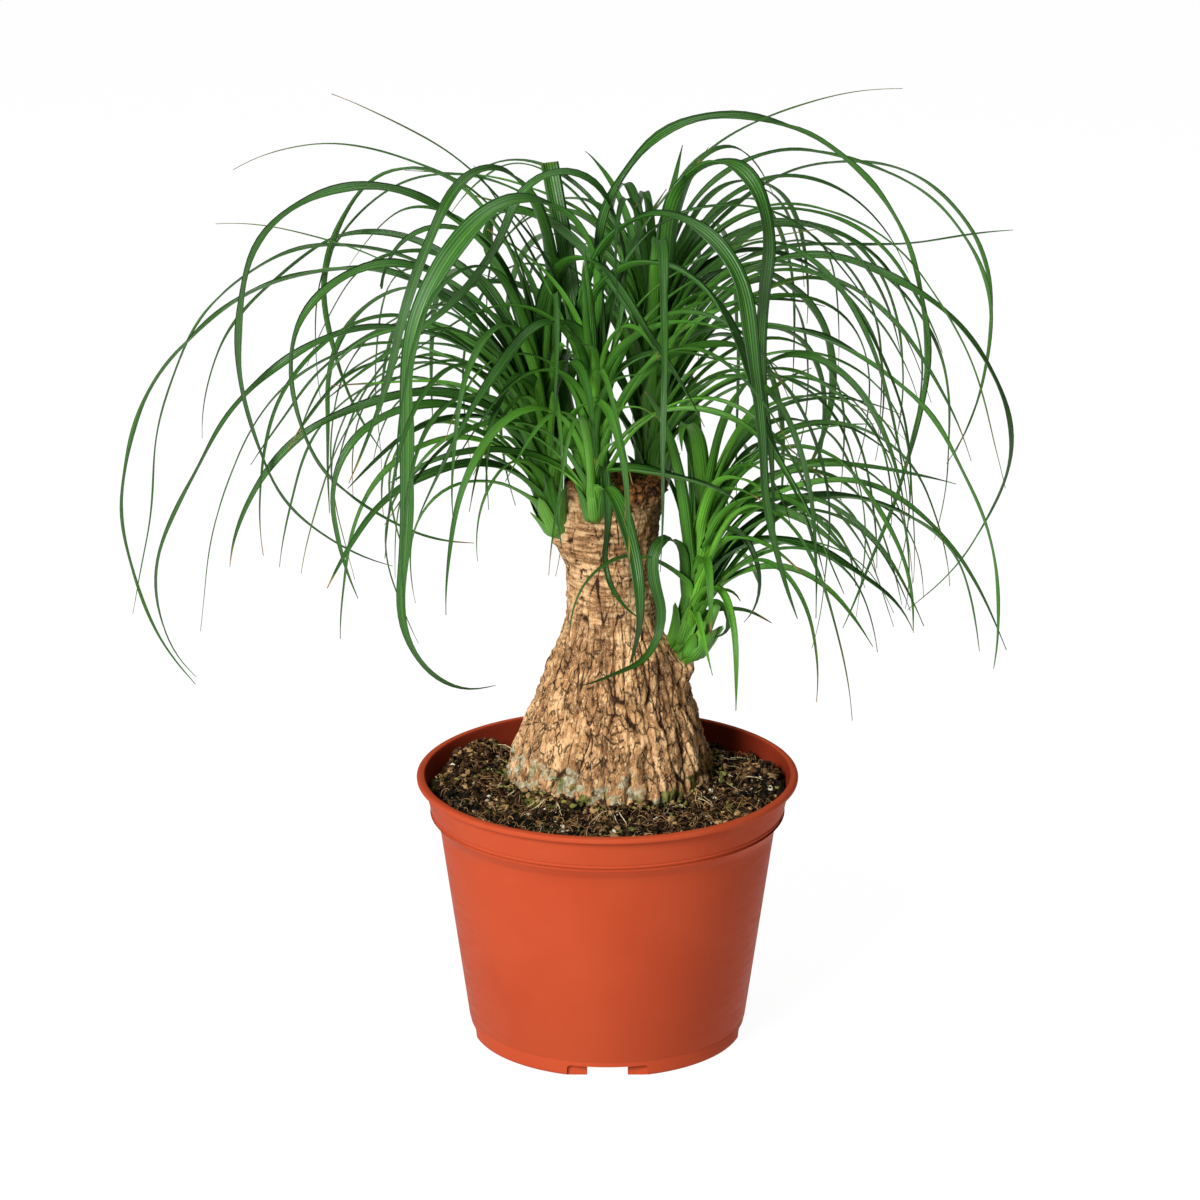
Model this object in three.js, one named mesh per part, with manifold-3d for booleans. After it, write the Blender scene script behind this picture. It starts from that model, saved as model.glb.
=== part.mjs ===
// A ponytail palm in a round plastic grow pot. Millimetres, +Z up, seen from -Y.
// The origin is the middle of the pot's foot, on the surface it stands on.
import * as THREE from 'three';
import Module from 'manifold-3d';
import { mergeVertices } from 'three/addons/utils/BufferGeometryUtils.js';

const wasm = await Module();
wasm.setup();

// Driving dimensions
const gap = 0.3;
const roundSides = 40;
const holeSides = 12;
const pot = {
  height: 136,
  rimRadius: 95,
  lipWidth: 3.4,
  lipHeight: 2.8,
  wall: 1.4,
  floor: 2,
  footRadius: 68.6,
  footEdge: 2,
  shoulderRadius: 83.3,
  shoulderHeight: 107,
  rounding: 0.8,
};
// Four drain channels cross under the floor, open wide at the wall, and each has a round hole in its roof
const drain = { mouth: 40, channel: 20, height: 6, reach: 64, inner: 25, roof: 1.6, hole: 4, holeAt: 45 };
const past = 10;
const trunkAxis = new THREE.Vector2(2, 16);
const trunkTop = 284;
const trunkSides = 28;
const trunkRowHeight = 6.9;
// The round foot of the trunk in the soil, as radius and height
const footTop = 134;
const footBottom = 93;
const footOutline = [[34, 94], [49, 101], [53.4, 114], [52.5, footTop]];
const blade = { thickness: 1.2, segment: 46, fewest: 4, most: 11, rootShare: 0.5, rootLength: 30 };
const pathSteps = 120;
const goldenTurn = 0.618034;

// Half outline of the outer wall, as radius and height, from the foot up to the lip
const wallOutline = [
  [pot.footRadius, pot.floor],
  [pot.shoulderRadius, pot.shoulderHeight],
  [84.2, 110],
  [86.5, 114],
  [88, 117.5],
  [91.4, 133],
];

// Colours
const finish = {
  pot: { color: 0xc84a2c, roughness: 0.45 },
  soil: { color: 0x2b1f18, roughness: 1 },
  trunk: { color: 0x9c7650, roughness: 0.9 },
  leaf: { color: 0x2f6b22, roughness: 0.5 },
};

// The four leafy shoots. Each has the line between two ends that its leaves grow from, and the stations, with
// radii, of its body: the foot in the trunk, the bulb, and the bundle of clasping leaf roots above it.
const shoots = {
  left: {
    ends: [[-26, 8, 259], [-30.8, 6.4, 299]],
    stations: [[-11, 12.5, 248, 5.5], [-19, 10, 252, 7.5], [-26, 8, 259, 11], [-27, 7.7, 268, 11.5],
      [-30.8, 6.4, 299, 9], [-33, 5.6, 322, 5]],
  },
  front: {
    ends: [[-7, -9, 268], [-6.3, -9.7, 302]],
    stations: [[-3, 5, 259, 5], [-5, -2, 263, 6], [-7, -9, 268, 8.5], [-6.8, -9.4, 277, 9.5],
      [-6, -10, 310, 9.5], [-5.6, -10.5, 345, 6.5]],
  },
  back: {
    ends: [[19, 27, 278], [22.1, 29.5, 340]],
    stations: [[15, 23, 260, 7], [17, 25, 270, 8.5], [19, 27, 278, 10.5], [19.6, 27.4, 290, 11],
      [22.1, 29.4, 340, 9], [23, 30, 360, 5]],
  },
  right: {
    ends: [[41, 8, 201], [47.7, 6.6, 249]],
    stations: [[28, 11, 188, 5.5], [35, 9.5, 194, 7.5], [41, 8, 201, 10.5], [42.4, 7.7, 211, 10.5],
      [47.7, 6.6, 249, 8], [50, 6, 266, 4.5]],
  },
};

// Leaves that give the plant its outline, placed by hand. In each row: shoot, place on the stem from 0 at its
// foot to 1 at its tip, bearing in degrees (0 is +X, 90 is +Y), length, width, and the slope in degrees at six
// even stations along the leaf. A last true marks a leaf that was cut off square.
const chosenLeaves = [
  ['left', 0.70, 175, 440, 7, [85, 45, -15, -55, -95, -130]],
  ['left', 0.80, 165, 415, 4, [84, 50, -5, -55, -85, -75]],
  ['left', 0.90, 190, 440, 8, [88, 70, 10, -80, -110, -165]],
  ['left', 0.95, 170, 340, 6, [90, 80, 50, -55, -100, -125]],
  ['left', 0.90, 180, 265, 3, [90, 83, 70, 25, 5, -35]],
  ['left', 0.60, 200, 375, 8, [82, 67, 10, -85, -135, -170]],
  ['left', 0.50, 185, 365, 7, [85, 45, -15, -55, -70, -135]],
  ['left', 0.30, 190, 235, 7, [88, 45, 0, -25, -55, -85]],
  ['left', 0.20, 210, 230, 7, [88, 45, 15, -30, -100, -110]],
  ['left', 0.40, 170, 195, 4, [88, 65, 20, -20, -65, -95]],
  ['left', 0.70, 160, 325, 4, [85, 65, 25, -35, -55, -95]],
  ['left', 0.50, 150, 285, 5, [80, 70, 15, -45, -90, -90]],
  ['left', 0.30, 200, 145, 5, [85, 65, 20, -10, -35, -45]],
  ['left', 0.05, 220, 175, 6, [70, 40, 5, -10, -45, -55]],
  ['left', 1.00, 230, 345, 7, [100, 92, 55, -50, -70, -50]],
  ['left', 1.00, -50, 230, 8, [95, 92, 60, -35, -40, -45]],
  ['left', 0.90, 178, 215, 3, [80, 62, 45, 30, 15, 0]],
  ['front', 1.00, 215, 465, 9, [92, 82, -35, -95, -85, -185]],
  ['front', 0.35, 227, 232, 8, [85, 84, 92, 25, -39, -39, -54, -52]],
  ['front', 1.00, 200, 320, 6, [95, 105, 68, -70, -32, -33]],
  ['front', 1.00, 15, 525, 9, [86, 90, -10, -65, -105, -115]],
  ['front', 0.90, -40, 375, 9, [100, 90, 15, -78, -84, -60]],
  ['front', 0.80, -35, 320, 9, [92, 95, 5, -72, -55, -62]],
  ['front', 0.60, 299, 237, 8, [135, 130, 120, 9, -67, -77, -80, -104, -31, 3]],
  ['front', 0.31, 289, 132, 7, [61, 8, -30, -48, -78, -109, -128]],
  ['front', 0.70, -27, 80, 9, [33, 6, -2, -4, -11, -30]],
  ['front', 1.00, 339, 276, 9, [170, 123, 108, 145, 9, -17, -33, -55]],
  ['front', 0.20, 185, 115, 6, [70, 40, 15, -5, -20, -30]],
  ['front', 1.00, 10, 265, 3, [88, 82, 66, 40, 15, 0]],
  ['front', 1.00, 0, 250, 4, [90, 88, 60, 10, -40, -60]],
  ['front', 1.00, 180, 235, 3, [88, 80, 66, 48, 32, 20]],
  ['front', 1.00, 115, 145, 10, [74, 70, 70, 68, 66, 64], true],
  ['left', 1.00, 185, 180, 7, [84, 84, 76, 55, -20, -85], true],
  ['back', 1.00, -55, 335, 10, [72, 85, 10, -105, -75, -83]],
  ['back', 0.90, 10, 370, 5, [90, 68, -5, -40, -90, -123]],
  ['back', 0.80, 25, 373, 4, [88, 50, 5, -40, -90, -120]],
  ['back', 0.90, 0, 276, 5, [86, 55, 0, -50, -90, -105]],
  ['back', 0.60, 5, 225, 5, [84, 62, 26, -6, 8, 3]],
  ['back', 0.70, -15, 370, 6, [85, 34, -16, -55, -113, -138]],
  ['back', 0.60, -20, 313, 8, [90, 12, -20, -53, -75, -100]],
  ['back', 0.80, 15, 215, 5, [80, 66, 2, -36, -50, -76]],
  ['back', 0.80, 30, 230, 6, [83, 46, -22, -58, -100, -130]],
  ['right', 0.52, 220, 114, 4, [49, 41, 27, 2, -24, -66, -95]],
  ['right', 0.02, 231, 184, 6, [75, 79, 93, 26, -95, -114, -55, -4, 0, 9]],
  ['right', 0.80, -15, 205, 7, [74, 71, 12, -52, -67, -90]],
  ['right', 0.40, -5, 142, 10, [77, 46, -6, -25, -38, -69]],
  ['right', 0.60, 5, 208, 7, [60, 40, -2, -29, -69, -85]],
  ['right', 0.30, -40, 115, 5, [86, 78, 55, -50, -90, -134]],
  ['right', 0.10, -30, 45, 4, [85, 75, 60, 30, 0, -60]],
  ['right', 0.05, -60, 72, 4, [75, 62, 25, -12, -138, -160]],
  ['right', 0.15, -10, 45, 4, [60, 40, 10, 0, -25, -30]],
];

// Fans of leaves that fill the crown by a rule: how many, the middle bearing and how far the fan opens to each
// side, then the smallest and largest length, first slope and total bend
// In each row: shoot, count, bearing, spread, length, slope and bend.
const fans = [
  ['left', 22, 185, 60, [160, 330], [62, 90], [130, 190]],
  ['left', 20, 190, 130, [100, 220], [45, 90], [110, 175]],
  ['front', 22, 230, 130, [100, 230], [60, 92], [110, 170]],
  ['front', 14, 90, 180, [110, 200], [80, 94], [25, 110]],
  ['back', 26, -2, 55, [210, 360], [58, 88], [130, 195]],
  ['back', 24, 110, 110, [180, 330], [52, 88], [120, 190]],
  ['back', 10, 0, 180, [110, 200], [80, 94], [30, 120]],
  ['right', 20, 0, 50, [120, 260], [58, 88], [110, 180]],
  ['right', 22, 15, 100, [70, 190], [50, 90], [90, 160]],
];

// Room that the leaves keep: off the trunk and the pot, inside the crown's outline, and out of the view of the
// trunk from the front. Leaves of one shoot cross close to its stem, and one of a fan at most once elsewhere.
const room = {
  tries: 60,
  chosenTries: 7,
  offTrunk: 6,
  rootOffTrunk: 2,
  offStem: 2,
  fanCrossings: 1,
  trunkTop: 292,
  overPot: 152,
  potRadius: 105,
  chosenFloor: 12,
  fanFloor: { left: 205, front: 205, back: 205, right: 185 },
  view: { height: 262, y: 20, x: -8, half: 44 },
  crown: { x: -5, y: 10, z: 290, rx: 205, ry: 190, rz: 172 },
};

// Shared helpers

function seededDraw(seed) {
  let value = seed;
  return (low, high) => {
    value = (value * 1664525 + 1013904223) % 4294967296;
    return low + ((high - low) * value) / 4294967296;
  };
}

function solidOf(geometry) {
  const bare = geometry.clone();
  bare.deleteAttribute('normal');
  bare.deleteAttribute('uv');
  const welded = mergeVertices(bare, 1e-4);
  return new wasm.Manifold(new wasm.Mesh({
    numProp: 3,
    vertProperties: new Float32Array(welded.attributes.position.array),
    triVerts: new Uint32Array(welded.index.array),
  }));
}

function geometryOf(solid) {
  const mesh = solid.getMesh();
  const geometry = new THREE.BufferGeometry();
  geometry.setAttribute('position', new THREE.BufferAttribute(mesh.vertProperties, 3));
  geometry.setIndex(new THREE.BufferAttribute(mesh.triVerts, 1));
  geometry.computeVertexNormals();
  return geometry;
}

// A closed skin over rings of points. The first and last entries of rows may be single points: they close it.
function skin(first, rings, last) {
  const sides = rings[0].length;
  const points = [first, ...rings.flat(), last];
  const at = (ring, side) => 1 + ring * sides + (side % sides);
  const index = [];
  for (let side = 0; side < sides; side += 1) {
    index.push(0, at(0, side + 1), at(0, side));
    index.push(points.length - 1, at(rings.length - 1, side), at(rings.length - 1, side + 1));
    for (let ring = 0; ring + 1 < rings.length; ring += 1) {
      index.push(at(ring, side), at(ring, side + 1), at(ring + 1, side + 1));
      index.push(at(ring, side), at(ring + 1, side + 1), at(ring + 1, side));
    }
  }
  const geometry = new THREE.BufferGeometry();
  geometry.setAttribute('position', new THREE.Float32BufferAttribute(points.flat(), 3));
  geometry.setIndex(index);
  return geometry;
}

// A solid of revolution whose outline starts and ends on the axis, turned from three.js's Y to Z
function turned(outline, sides = roundSides) {
  const points = outline.map(([radius, height]) => new THREE.Vector2(radius, height));
  return new THREE.LatheGeometry(points, sides).rotateX(Math.PI / 2);
}

function boxBetween(low, high) {
  const size = high.map((value, axis) => value - low[axis]);
  const middle = high.map((value, axis) => (value + low[axis]) / 2);
  return new THREE.BoxGeometry(...size).translate(...middle);
}

function interpolate(table, value) {
  const last = table.length - 1;
  if (value <= table[0][0]) return table[0][1];
  if (value >= table[last][0]) return table[last][1];
  const after = table.findIndex(([key]) => key > value);
  const [key0, value0] = table[after - 1];
  const [key1, value1] = table[after];
  return value0 + ((value1 - value0) * (value - key0)) / (key1 - key0);
}

// Pot

function drainBlocks(extra) {
  const blocks = [];
  for (let quarter = 0; quarter < 4; quarter += 1) {
    const parts = [
      boxBetween(
        [drain.inner - extra, -drain.channel / 2 - extra, -past],
        [pot.footRadius + past, drain.channel / 2 + extra, drain.height + extra],
      ),
      boxBetween(
        [drain.reach - extra, -drain.mouth / 2 - extra, -past],
        [pot.footRadius + past, drain.mouth / 2 + extra, drain.height + extra],
      ),
    ];
    parts.forEach((part) => blocks.push(solidOf(part.rotateZ((quarter * Math.PI) / 2))));
  }
  return blocks;
}

function potSolid() {
  const { height, rimRadius, lipWidth, lipHeight, wall, floor, footRadius, footEdge, rounding } = pot;
  const outer = solidOf(turned([
    [0, 0],
    [footRadius - footEdge, 0],
    [footRadius - footEdge / 3, footEdge / 3],
    ...wallOutline,
    [rimRadius - rounding, height - lipHeight],
    [rimRadius, height - lipHeight + rounding],
    [rimRadius, height - rounding],
    [rimRadius - rounding, height],
    [0, height],
  ]));
  const inner = solidOf(turned([
    [0, floor],
    ...wallOutline.map(([radius, z]) => [radius - wall, z]),
    [rimRadius - lipWidth, height - rounding],
    [rimRadius - lipWidth, height + past],
    [0, height + past],
  ]));
  const inside = solidOf(turned([
    [0, 0],
    [footRadius - footEdge, 0],
    ...wallOutline.slice(0, 2).map(([radius, z]) => [radius - wall / 2, z]),
    [0, pot.shoulderHeight],
  ]));
  let body = outer.subtract(inner);
  for (const block of drainBlocks(drain.roof)) body = body.add(block.intersect(inside));
  for (const block of drainBlocks(0)) body = body.subtract(block);
  for (let quarter = 0; quarter < 4; quarter += 1) {
    const hole = new THREE.CylinderGeometry(drain.hole, drain.hole, past, holeSides).rotateX(Math.PI / 2);
    hole.translate(drain.holeAt, 0, drain.height).rotateZ((quarter * Math.PI) / 2);
    body = body.subtract(solidOf(hole));
  }
  return body;
}

// Trunk

// Radius of the swollen trunk by height, above the part that is sunk in the soil
const trunkRadius = [
  [footTop, 52], [138, 50.4], [146, 47.6], [154, 44.8], [162, 42], [170, 39], [180, 35.4], [190, 31.6],
  [200, 27.2], [210, 24.2], [220, 22.8], [233, 22.2], [246, 22.2], [257, 22.8], [268, 23.6], [277, 23.4],
  [trunkTop, 22.4],
];
// The old cut at the top, a ragged rim round a shallow dark hollow, as radius and height
const cutOutline = [[19.5, 285.6], [15, 282.5], [8, 280.5]];
const cutMiddle = 280;
const cutRelief = 0.8;
// Swellings of the trunk: bearing, height, how far they stand out, half height and half width in degrees
const bosses = [
  { bearing: 196, z: 249, rise: 5.5, tall: 9, wide: 24 },
  { bearing: -12, z: 190, rise: 9.5, tall: 9.5, wide: 26 },
  { bearing: 180, z: 190, rise: -1.5, tall: 25, wide: 40 },
  { bearing: 0, z: 172, rise: 1.5, tall: 12, wide: 40 },
];

function turnBetween(a, b) {
  return ((a - b + 540) % 360) - 180;
}

function barkRelief(angle, z) {
  const fissures = Math.cos(9 * angle + 1.4 * Math.sin(z / 11)) * 0.7;
  const rings = Math.cos(z / 4.2 + 2 * Math.sin(2 * angle)) * 0.5;
  const knots = Math.cos(5 * angle - z / 8.5) * 0.5;
  return fissures + rings + knots;
}

function trunkRadiusAt(angle, z) {
  const bearing = (angle * 180) / Math.PI;
  let radius = interpolate(trunkRadius, z);
  for (const boss of bosses) {
    const across = turnBetween(bearing, boss.bearing) / boss.wide;
    const along = (z - boss.z) / boss.tall;
    radius += boss.rise * Math.exp(-across * across - along * along);
  }
  return radius;
}

function ringAt(sides, place) {
  return Array.from({ length: sides }, (_, side) => place((side / sides) * 2 * Math.PI));
}

function polar(angle, radius, z) {
  return [radius * Math.cos(angle), radius * Math.sin(angle), z];
}

function trunkPoint(angle, radius, z) {
  const [x, y] = polar(angle, radius, z);
  return [trunkAxis.x + x, trunkAxis.y + y, z];
}

function trunkSolid() {
  const sides = trunkSides;
  const tall = trunkTop - footTop;
  const rings = footOutline.map(([radius, z]) => ringAt(sides, (angle) => trunkPoint(angle, radius, z)));
  const rows = Math.round(tall / trunkRowHeight);
  for (let row = 1; row <= rows; row += 1) {
    const z = footTop + (tall * row) / rows;
    const fade = Math.min(1, row / 3);
    const radiusAt = (angle) => trunkRadiusAt(angle, z) + fade * barkRelief(angle, z);
    rings.push(ringAt(sides, (angle) => trunkPoint(angle, radiusAt(angle), z)));
  }
  for (const [radius, z] of cutOutline) {
    rings.push(ringAt(sides, (angle) => trunkPoint(angle, radius, z + cutRelief * Math.cos(7 * angle))));
  }
  return solidOf(skin(trunkPoint(0, 0, footBottom), rings, trunkPoint(0, 0, cutMiddle)));
}

function footHole() {
  const outline = footOutline.map(([radius, z]) => [radius + gap, z - gap]);
  const [mouth] = outline[outline.length - 1];
  const rim = footTop + past;
  return solidOf(turned([[0, footBottom - gap], ...outline, [mouth, rim], [0, rim]], trunkSides)
    .translate(trunkAxis.x, trunkAxis.y, 0));
}

// Soil

const soil = { level: 127.6, lowest: 119, rings: 7 };
// Heaps and hollows of the soil's top: where, how high and how wide
const heaps = [
  { x: -58, y: 52, rise: 6, size: 14 },
  { x: 64, y: 42, rise: 4, size: 14 },
  { x: 79, y: 14, rise: 4, size: 12 },
  { x: -80, y: -6, rise: 3, size: 16 },
  { x: 20, y: 80, rise: -7, size: 30 },
  { x: -36, y: 70, rise: -5, size: 14 },
  { x: 5, y: -70, rise: -1.5, size: 40 },
];

function soilHeight(x, y) {
  let z = soil.level + 1.1 * Math.sin(x / 6.5 + Math.cos(y / 8)) + 0.9 * Math.cos(y / 5.2 + x / 13);
  for (const heap of heaps) {
    const distance = Math.hypot(x - heap.x, y - heap.y) / heap.size;
    z += heap.rise * Math.exp(-distance * distance);
  }
  return z;
}

function wallRadiusAt(z) {
  return interpolate(wallOutline.map(([radius, height]) => [height, radius]), z);
}

function soilSolid() {
  const sides = roundSides;
  const clear = pot.wall + gap;
  const rings = [];
  const bottom = pot.floor + gap;
  rings.push(ringAt(sides, (angle) => polar(angle, wallRadiusAt(bottom) - clear, bottom)));
  for (const [radius, z] of wallOutline.slice(1, 4)) {
    rings.push(ringAt(sides, (angle) => polar(angle, radius - clear, z)));
  }
  const edge = wallRadiusAt(soil.lowest) - clear;
  for (let ring = 0; ring < soil.rings; ring += 1) {
    rings.push(ringAt(sides, (angle) => {
      const radius = edge * (1 - ring / soil.rings);
      const [x, y] = polar(angle, radius, 0);
      const z = THREE.MathUtils.clamp(soilHeight(x, y), soil.lowest, footTop - 1);
      return polar(angle, ring === 0 ? wallRadiusAt(z) - clear : radius, z);
    }));
  }
  let body = solidOf(skin([0, 0, bottom], rings, [0, 0, soilHeight(0, 0)]));
  for (const block of drainBlocks(drain.roof + gap)) body = body.subtract(block);
  return body.subtract(footHole());
}

// Leaves

function slopeAt(slopes, share) {
  const place = share * (slopes.length - 1);
  const station = Math.min(slopes.length - 2, Math.floor(place));
  return slopes[station] + (slopes[station + 1] - slopes[station]) * (place - station);
}

function heading(leaf, share) {
  const slope = THREE.MathUtils.degToRad(slopeAt(leaf.slopes, share));
  const bearing = THREE.MathUtils.degToRad(leaf.bearing + leaf.swing * share * share);
  return { slope, bearing };
}

// Half the width along a leaf: narrower in the bundle at its root, an even strap, then a taper to a thread
function halfWidth(leaf, share) {
  const root = 1 - blade.rootShare * Math.exp((-share * leaf.length) / blade.rootLength);
  const strap = leaf.cut ? 0.95 : Math.min(1, 1.25 * (1 - share) ** 0.75);
  return (leaf.width * root * strap) / 2;
}

// Sections of a leaf: middle point, direction across, upper normal and half width
function leafSections(leaf) {
  const [foot, tip] = shoots[leaf.shoot].ends.map((end) => new THREE.Vector3(...end));
  const step = leaf.length / pathSteps;
  const point = foot.clone().lerp(tip, leaf.place);
  const points = [point.clone()];
  for (let i = 1; i <= pathSteps; i += 1) {
    const { slope, bearing } = heading(leaf, (i - 0.5) / pathSteps);
    point.x += Math.cos(slope) * Math.cos(bearing) * step;
    point.y += Math.cos(slope) * Math.sin(bearing) * step;
    point.z += Math.sin(slope) * step;
    points.push(point.clone());
  }
  const wanted = Math.floor(leaf.length / blade.segment + 0.5);
  const count = Math.max(blade.fewest, Math.min(blade.most, wanted));
  const sections = [];
  for (let k = 0; k <= count; k += 1) {
    const i = Math.floor((pathSteps * k) / count + 0.5);
    const share = i / pathSteps;
    const { slope, bearing } = heading(leaf, share);
    const roll = THREE.MathUtils.degToRad(leaf.roll + leaf.twist * share);
    const side = new THREE.Vector3(-Math.sin(bearing), Math.cos(bearing), 0);
    const up = new THREE.Vector3(
      -Math.sin(slope) * Math.cos(bearing),
      -Math.sin(slope) * Math.sin(bearing),
      Math.cos(slope),
    );
    const across = side.clone().multiplyScalar(Math.cos(roll)).addScaledVector(up, Math.sin(roll));
    const normal = up.clone().multiplyScalar(Math.cos(roll)).addScaledVector(side, -Math.sin(roll));
    sections.push({ point: points[i], across, normal, half: halfWidth(leaf, share) });
  }
  return sections;
}

// Pairs of neighbouring sections
function spansOf(sections) {
  return sections.slice(1).map((section, i) => ({ from: sections[i], to: section }));
}

function stemSpans(shoot) {
  const across = new THREE.Vector3(1, 0, 0);
  const normal = new THREE.Vector3(0, 1, 0);
  return spansOf(shoots[shoot].stations.map(([x, y, z, half]) => (
    { point: new THREE.Vector3(x, y, z), across, normal, half }
  )));
}

// Whether a point lies in a stem or close to it
function nearStem(stem, point) {
  return stem.some(({ from, to }) => {
    const line = new THREE.Line3(from.point, to.point);
    const share = line.closestPointToPointParameter(point, true);
    const radius = THREE.MathUtils.lerp(from.half, to.half, share);
    return line.at(share, new THREE.Vector3()).distanceTo(point) < radius + room.offStem;
  });
}

// The nearest points of two spans, as shares along them
function nearest(a, b) {
  const d1 = a.to.point.clone().sub(a.from.point);
  const d2 = b.to.point.clone().sub(b.from.point);
  const r = a.from.point.clone().sub(b.from.point);
  const aa = d1.dot(d1);
  const ee = d2.dot(d2);
  const ff = d2.dot(r);
  const cc = d1.dot(r);
  const bb = d1.dot(d2);
  const spread = aa * ee - bb * bb;
  let s = spread > 1e-9 ? THREE.MathUtils.clamp((bb * ff - cc * ee) / spread, 0, 1) : 0;
  const free = (bb * s + ff) / ee;
  const t = THREE.MathUtils.clamp(free, 0, 1);
  if (t !== free) s = THREE.MathUtils.clamp((bb * t - cc) / aa, 0, 1);
  const apart = a.from.point.clone().addScaledVector(d1, s).sub(b.from.point.clone().addScaledVector(d2, t));
  return { s, t, apart };
}

// How far a span reaches towards a direction, at a share along it
function reach(span, share, direction) {
  const across = span.from.across.dot(direction) * (1 - share) + span.to.across.dot(direction) * share;
  const normal = span.from.normal.dot(direction) * (1 - share) + span.to.normal.dot(direction) * share;
  const half = span.from.half * (1 - share) + span.to.half * share;
  return half * Math.abs(across) + blade.thickness * Math.abs(normal);
}

function spansClear(a, b) {
  const { s, t, apart } = nearest(a, b);
  const distance = apart.length();
  const direction = apart.divideScalar(Math.max(distance, 1e-9));
  return distance >= reach(a, s, direction) + reach(b, t, direction) + gap;
}

// Whether a leaf stays off the trunk and the pot and, if it belongs to a fan, inside the crown
function hasRoom(leaf, sections) {
  const points = sections.slice(1).map((section) => section.point);
  spansOf(sections).forEach(({ from, to }) => points.push(from.point.clone().lerp(to.point, 0.5)));
  const { view, crown } = room;
  const nearTrunk = ({ x, y, z }, clear) => (
    z < room.trunkTop && Math.hypot(x - trunkAxis.x, y - trunkAxis.y) < interpolate(trunkRadius, z) + clear
  );
  const grazes = ({ from, to }) => nearTrunk(from.point.clone().lerp(to.point, 0.25), room.rootOffTrunk);
  if (spansOf(sections).some(grazes)) return false;
  return points.every((point) => {
    const { x, y, z } = point;
    if (nearTrunk(point, room.offTrunk)) return false;
    if (z < room.overPot && Math.hypot(x, y) < room.potRadius) return false;
    if (z < room.chosenFloor) return false;
    if (!leaf.inFan) return true;
    if (z < view.height && y < view.y && Math.abs(x - view.x) < view.half) return false;
    if (z < room.fanFloor[leaf.shoot]) return false;
    const inCrown = ((x - crown.x) / crown.rx) ** 2 + ((y - crown.y) / crown.ry) ** 2
      + (Math.max(0, z - crown.z) / crown.rz) ** 2;
    return inCrown <= 1;
  });
}

// Lays every leaf. Each one is drawn again until it crosses no leaf of another shoot and, as far as the tries
// allow, none of its own shoot either.
function layLeaves() {
  const draw = seededDraw(5);
  const names = Object.keys(shoots);
  const laid = Object.fromEntries(names.map((shoot) => [shoot, []]));
  const stems = Object.fromEntries(names.map((shoot) => [shoot, stemSpans(shoot)]));
  const spans = Object.fromEntries(names.map((shoot) => [shoot, [...stems[shoot]]]));
  const outer = Object.fromEntries(names.map((shoot) => [shoot, []]));
  const place = (drawLeaf, enough) => {
    let best = { crossings: Infinity };
    for (let k = 0; k < room.tries && best.crossings > 0 && !(best.leaf && k >= enough); k += 1) {
      const leaf = drawLeaf(k);
      const sections = leafSections(leaf);
      const own = spansOf(sections);
      const others = names.filter((shoot) => shoot !== leaf.shoot).flatMap((shoot) => spans[shoot]);
      if (hasRoom(leaf, sections) && own.every((span) => others.every((other) => spansClear(span, other)))) {
        const free = own.filter(({ from }) => !nearStem(stems[leaf.shoot], from.point));
        const crossed = (span) => outer[leaf.shoot].filter((other) => !spansClear(span, other)).length;
        const crossings = free.reduce((sum, span) => sum + crossed(span), 0);
        if (crossings < best.crossings) best = { crossings, leaf, sections, own, free };
      }
    }
    if (!best.leaf || (best.leaf.inFan && best.crossings > room.fanCrossings)) return;
    laid[best.leaf.shoot].push(best.sections);
    spans[best.leaf.shoot].push(...best.own);
    outer[best.leaf.shoot].push(...best.free);
  };
  for (const [shoot, stemPlace, bearing, length, width, slopes, cut] of chosenLeaves) {
    const roll = draw(-10, 10);
    const twist = draw(-40, 40);
    place((k) => {
      const turn = k * 0.4;
      const aside = draw(-turn, turn) * 1.5;
      const lift = draw(-turn, turn);
      return {
        shoot,
        place: stemPlace,
        bearing: bearing + aside,
        length: length * (1 + draw(-turn, turn) * 0.003),
        width,
        slopes: slopes.map((slope) => slope + lift),
        swing: 0,
        roll,
        twist,
        cut: Boolean(cut),
        inFan: false,
      };
    }, room.chosenTries);
  }
  for (const [shoot, count, middleBearing, spread, lengths, firstSlopes, bends] of fans) {
    for (let i = 0; i < count; i += 1) {
      const rank = (i + 0.5) / count;
      const turn = (i * goldenTurn) % 1;
      const roll = draw(-10, 10);
      const twist = draw(-50, 50);
      place((k) => {
        const bearing = middleBearing + spread * (2 * turn - 1) + draw(-1, 1) * (6 + 1.2 * k);
        const length = draw(...lengths);
        const first = THREE.MathUtils.lerp(...firstSlopes, rank) + draw(-5, 5);
        const bend = draw(...bends);
        const middle = draw(0.35, 0.65);
        const ramp = (share) => 1 / (1 + Math.exp((middle - share) / 0.16));
        const bent = (share) => (ramp(share) - ramp(0)) / (ramp(1) - ramp(0));
        const slopes = [0, 0.2, 0.4, 0.6, 0.8, 1].map((share) => first - bend * bent(share));
        return {
          shoot,
          place: 0.08 + 0.9 * rank,
          bearing,
          length,
          swing: draw(-30, 30),
          width: 3.5 + draw(0, 1) * 4.5 * (0.5 + 0.5 * rank),
          slopes,
          roll,
          twist,
          cut: false,
          inFan: true,
        };
      }, room.tries);
    }
  }
  return laid;
}

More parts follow.
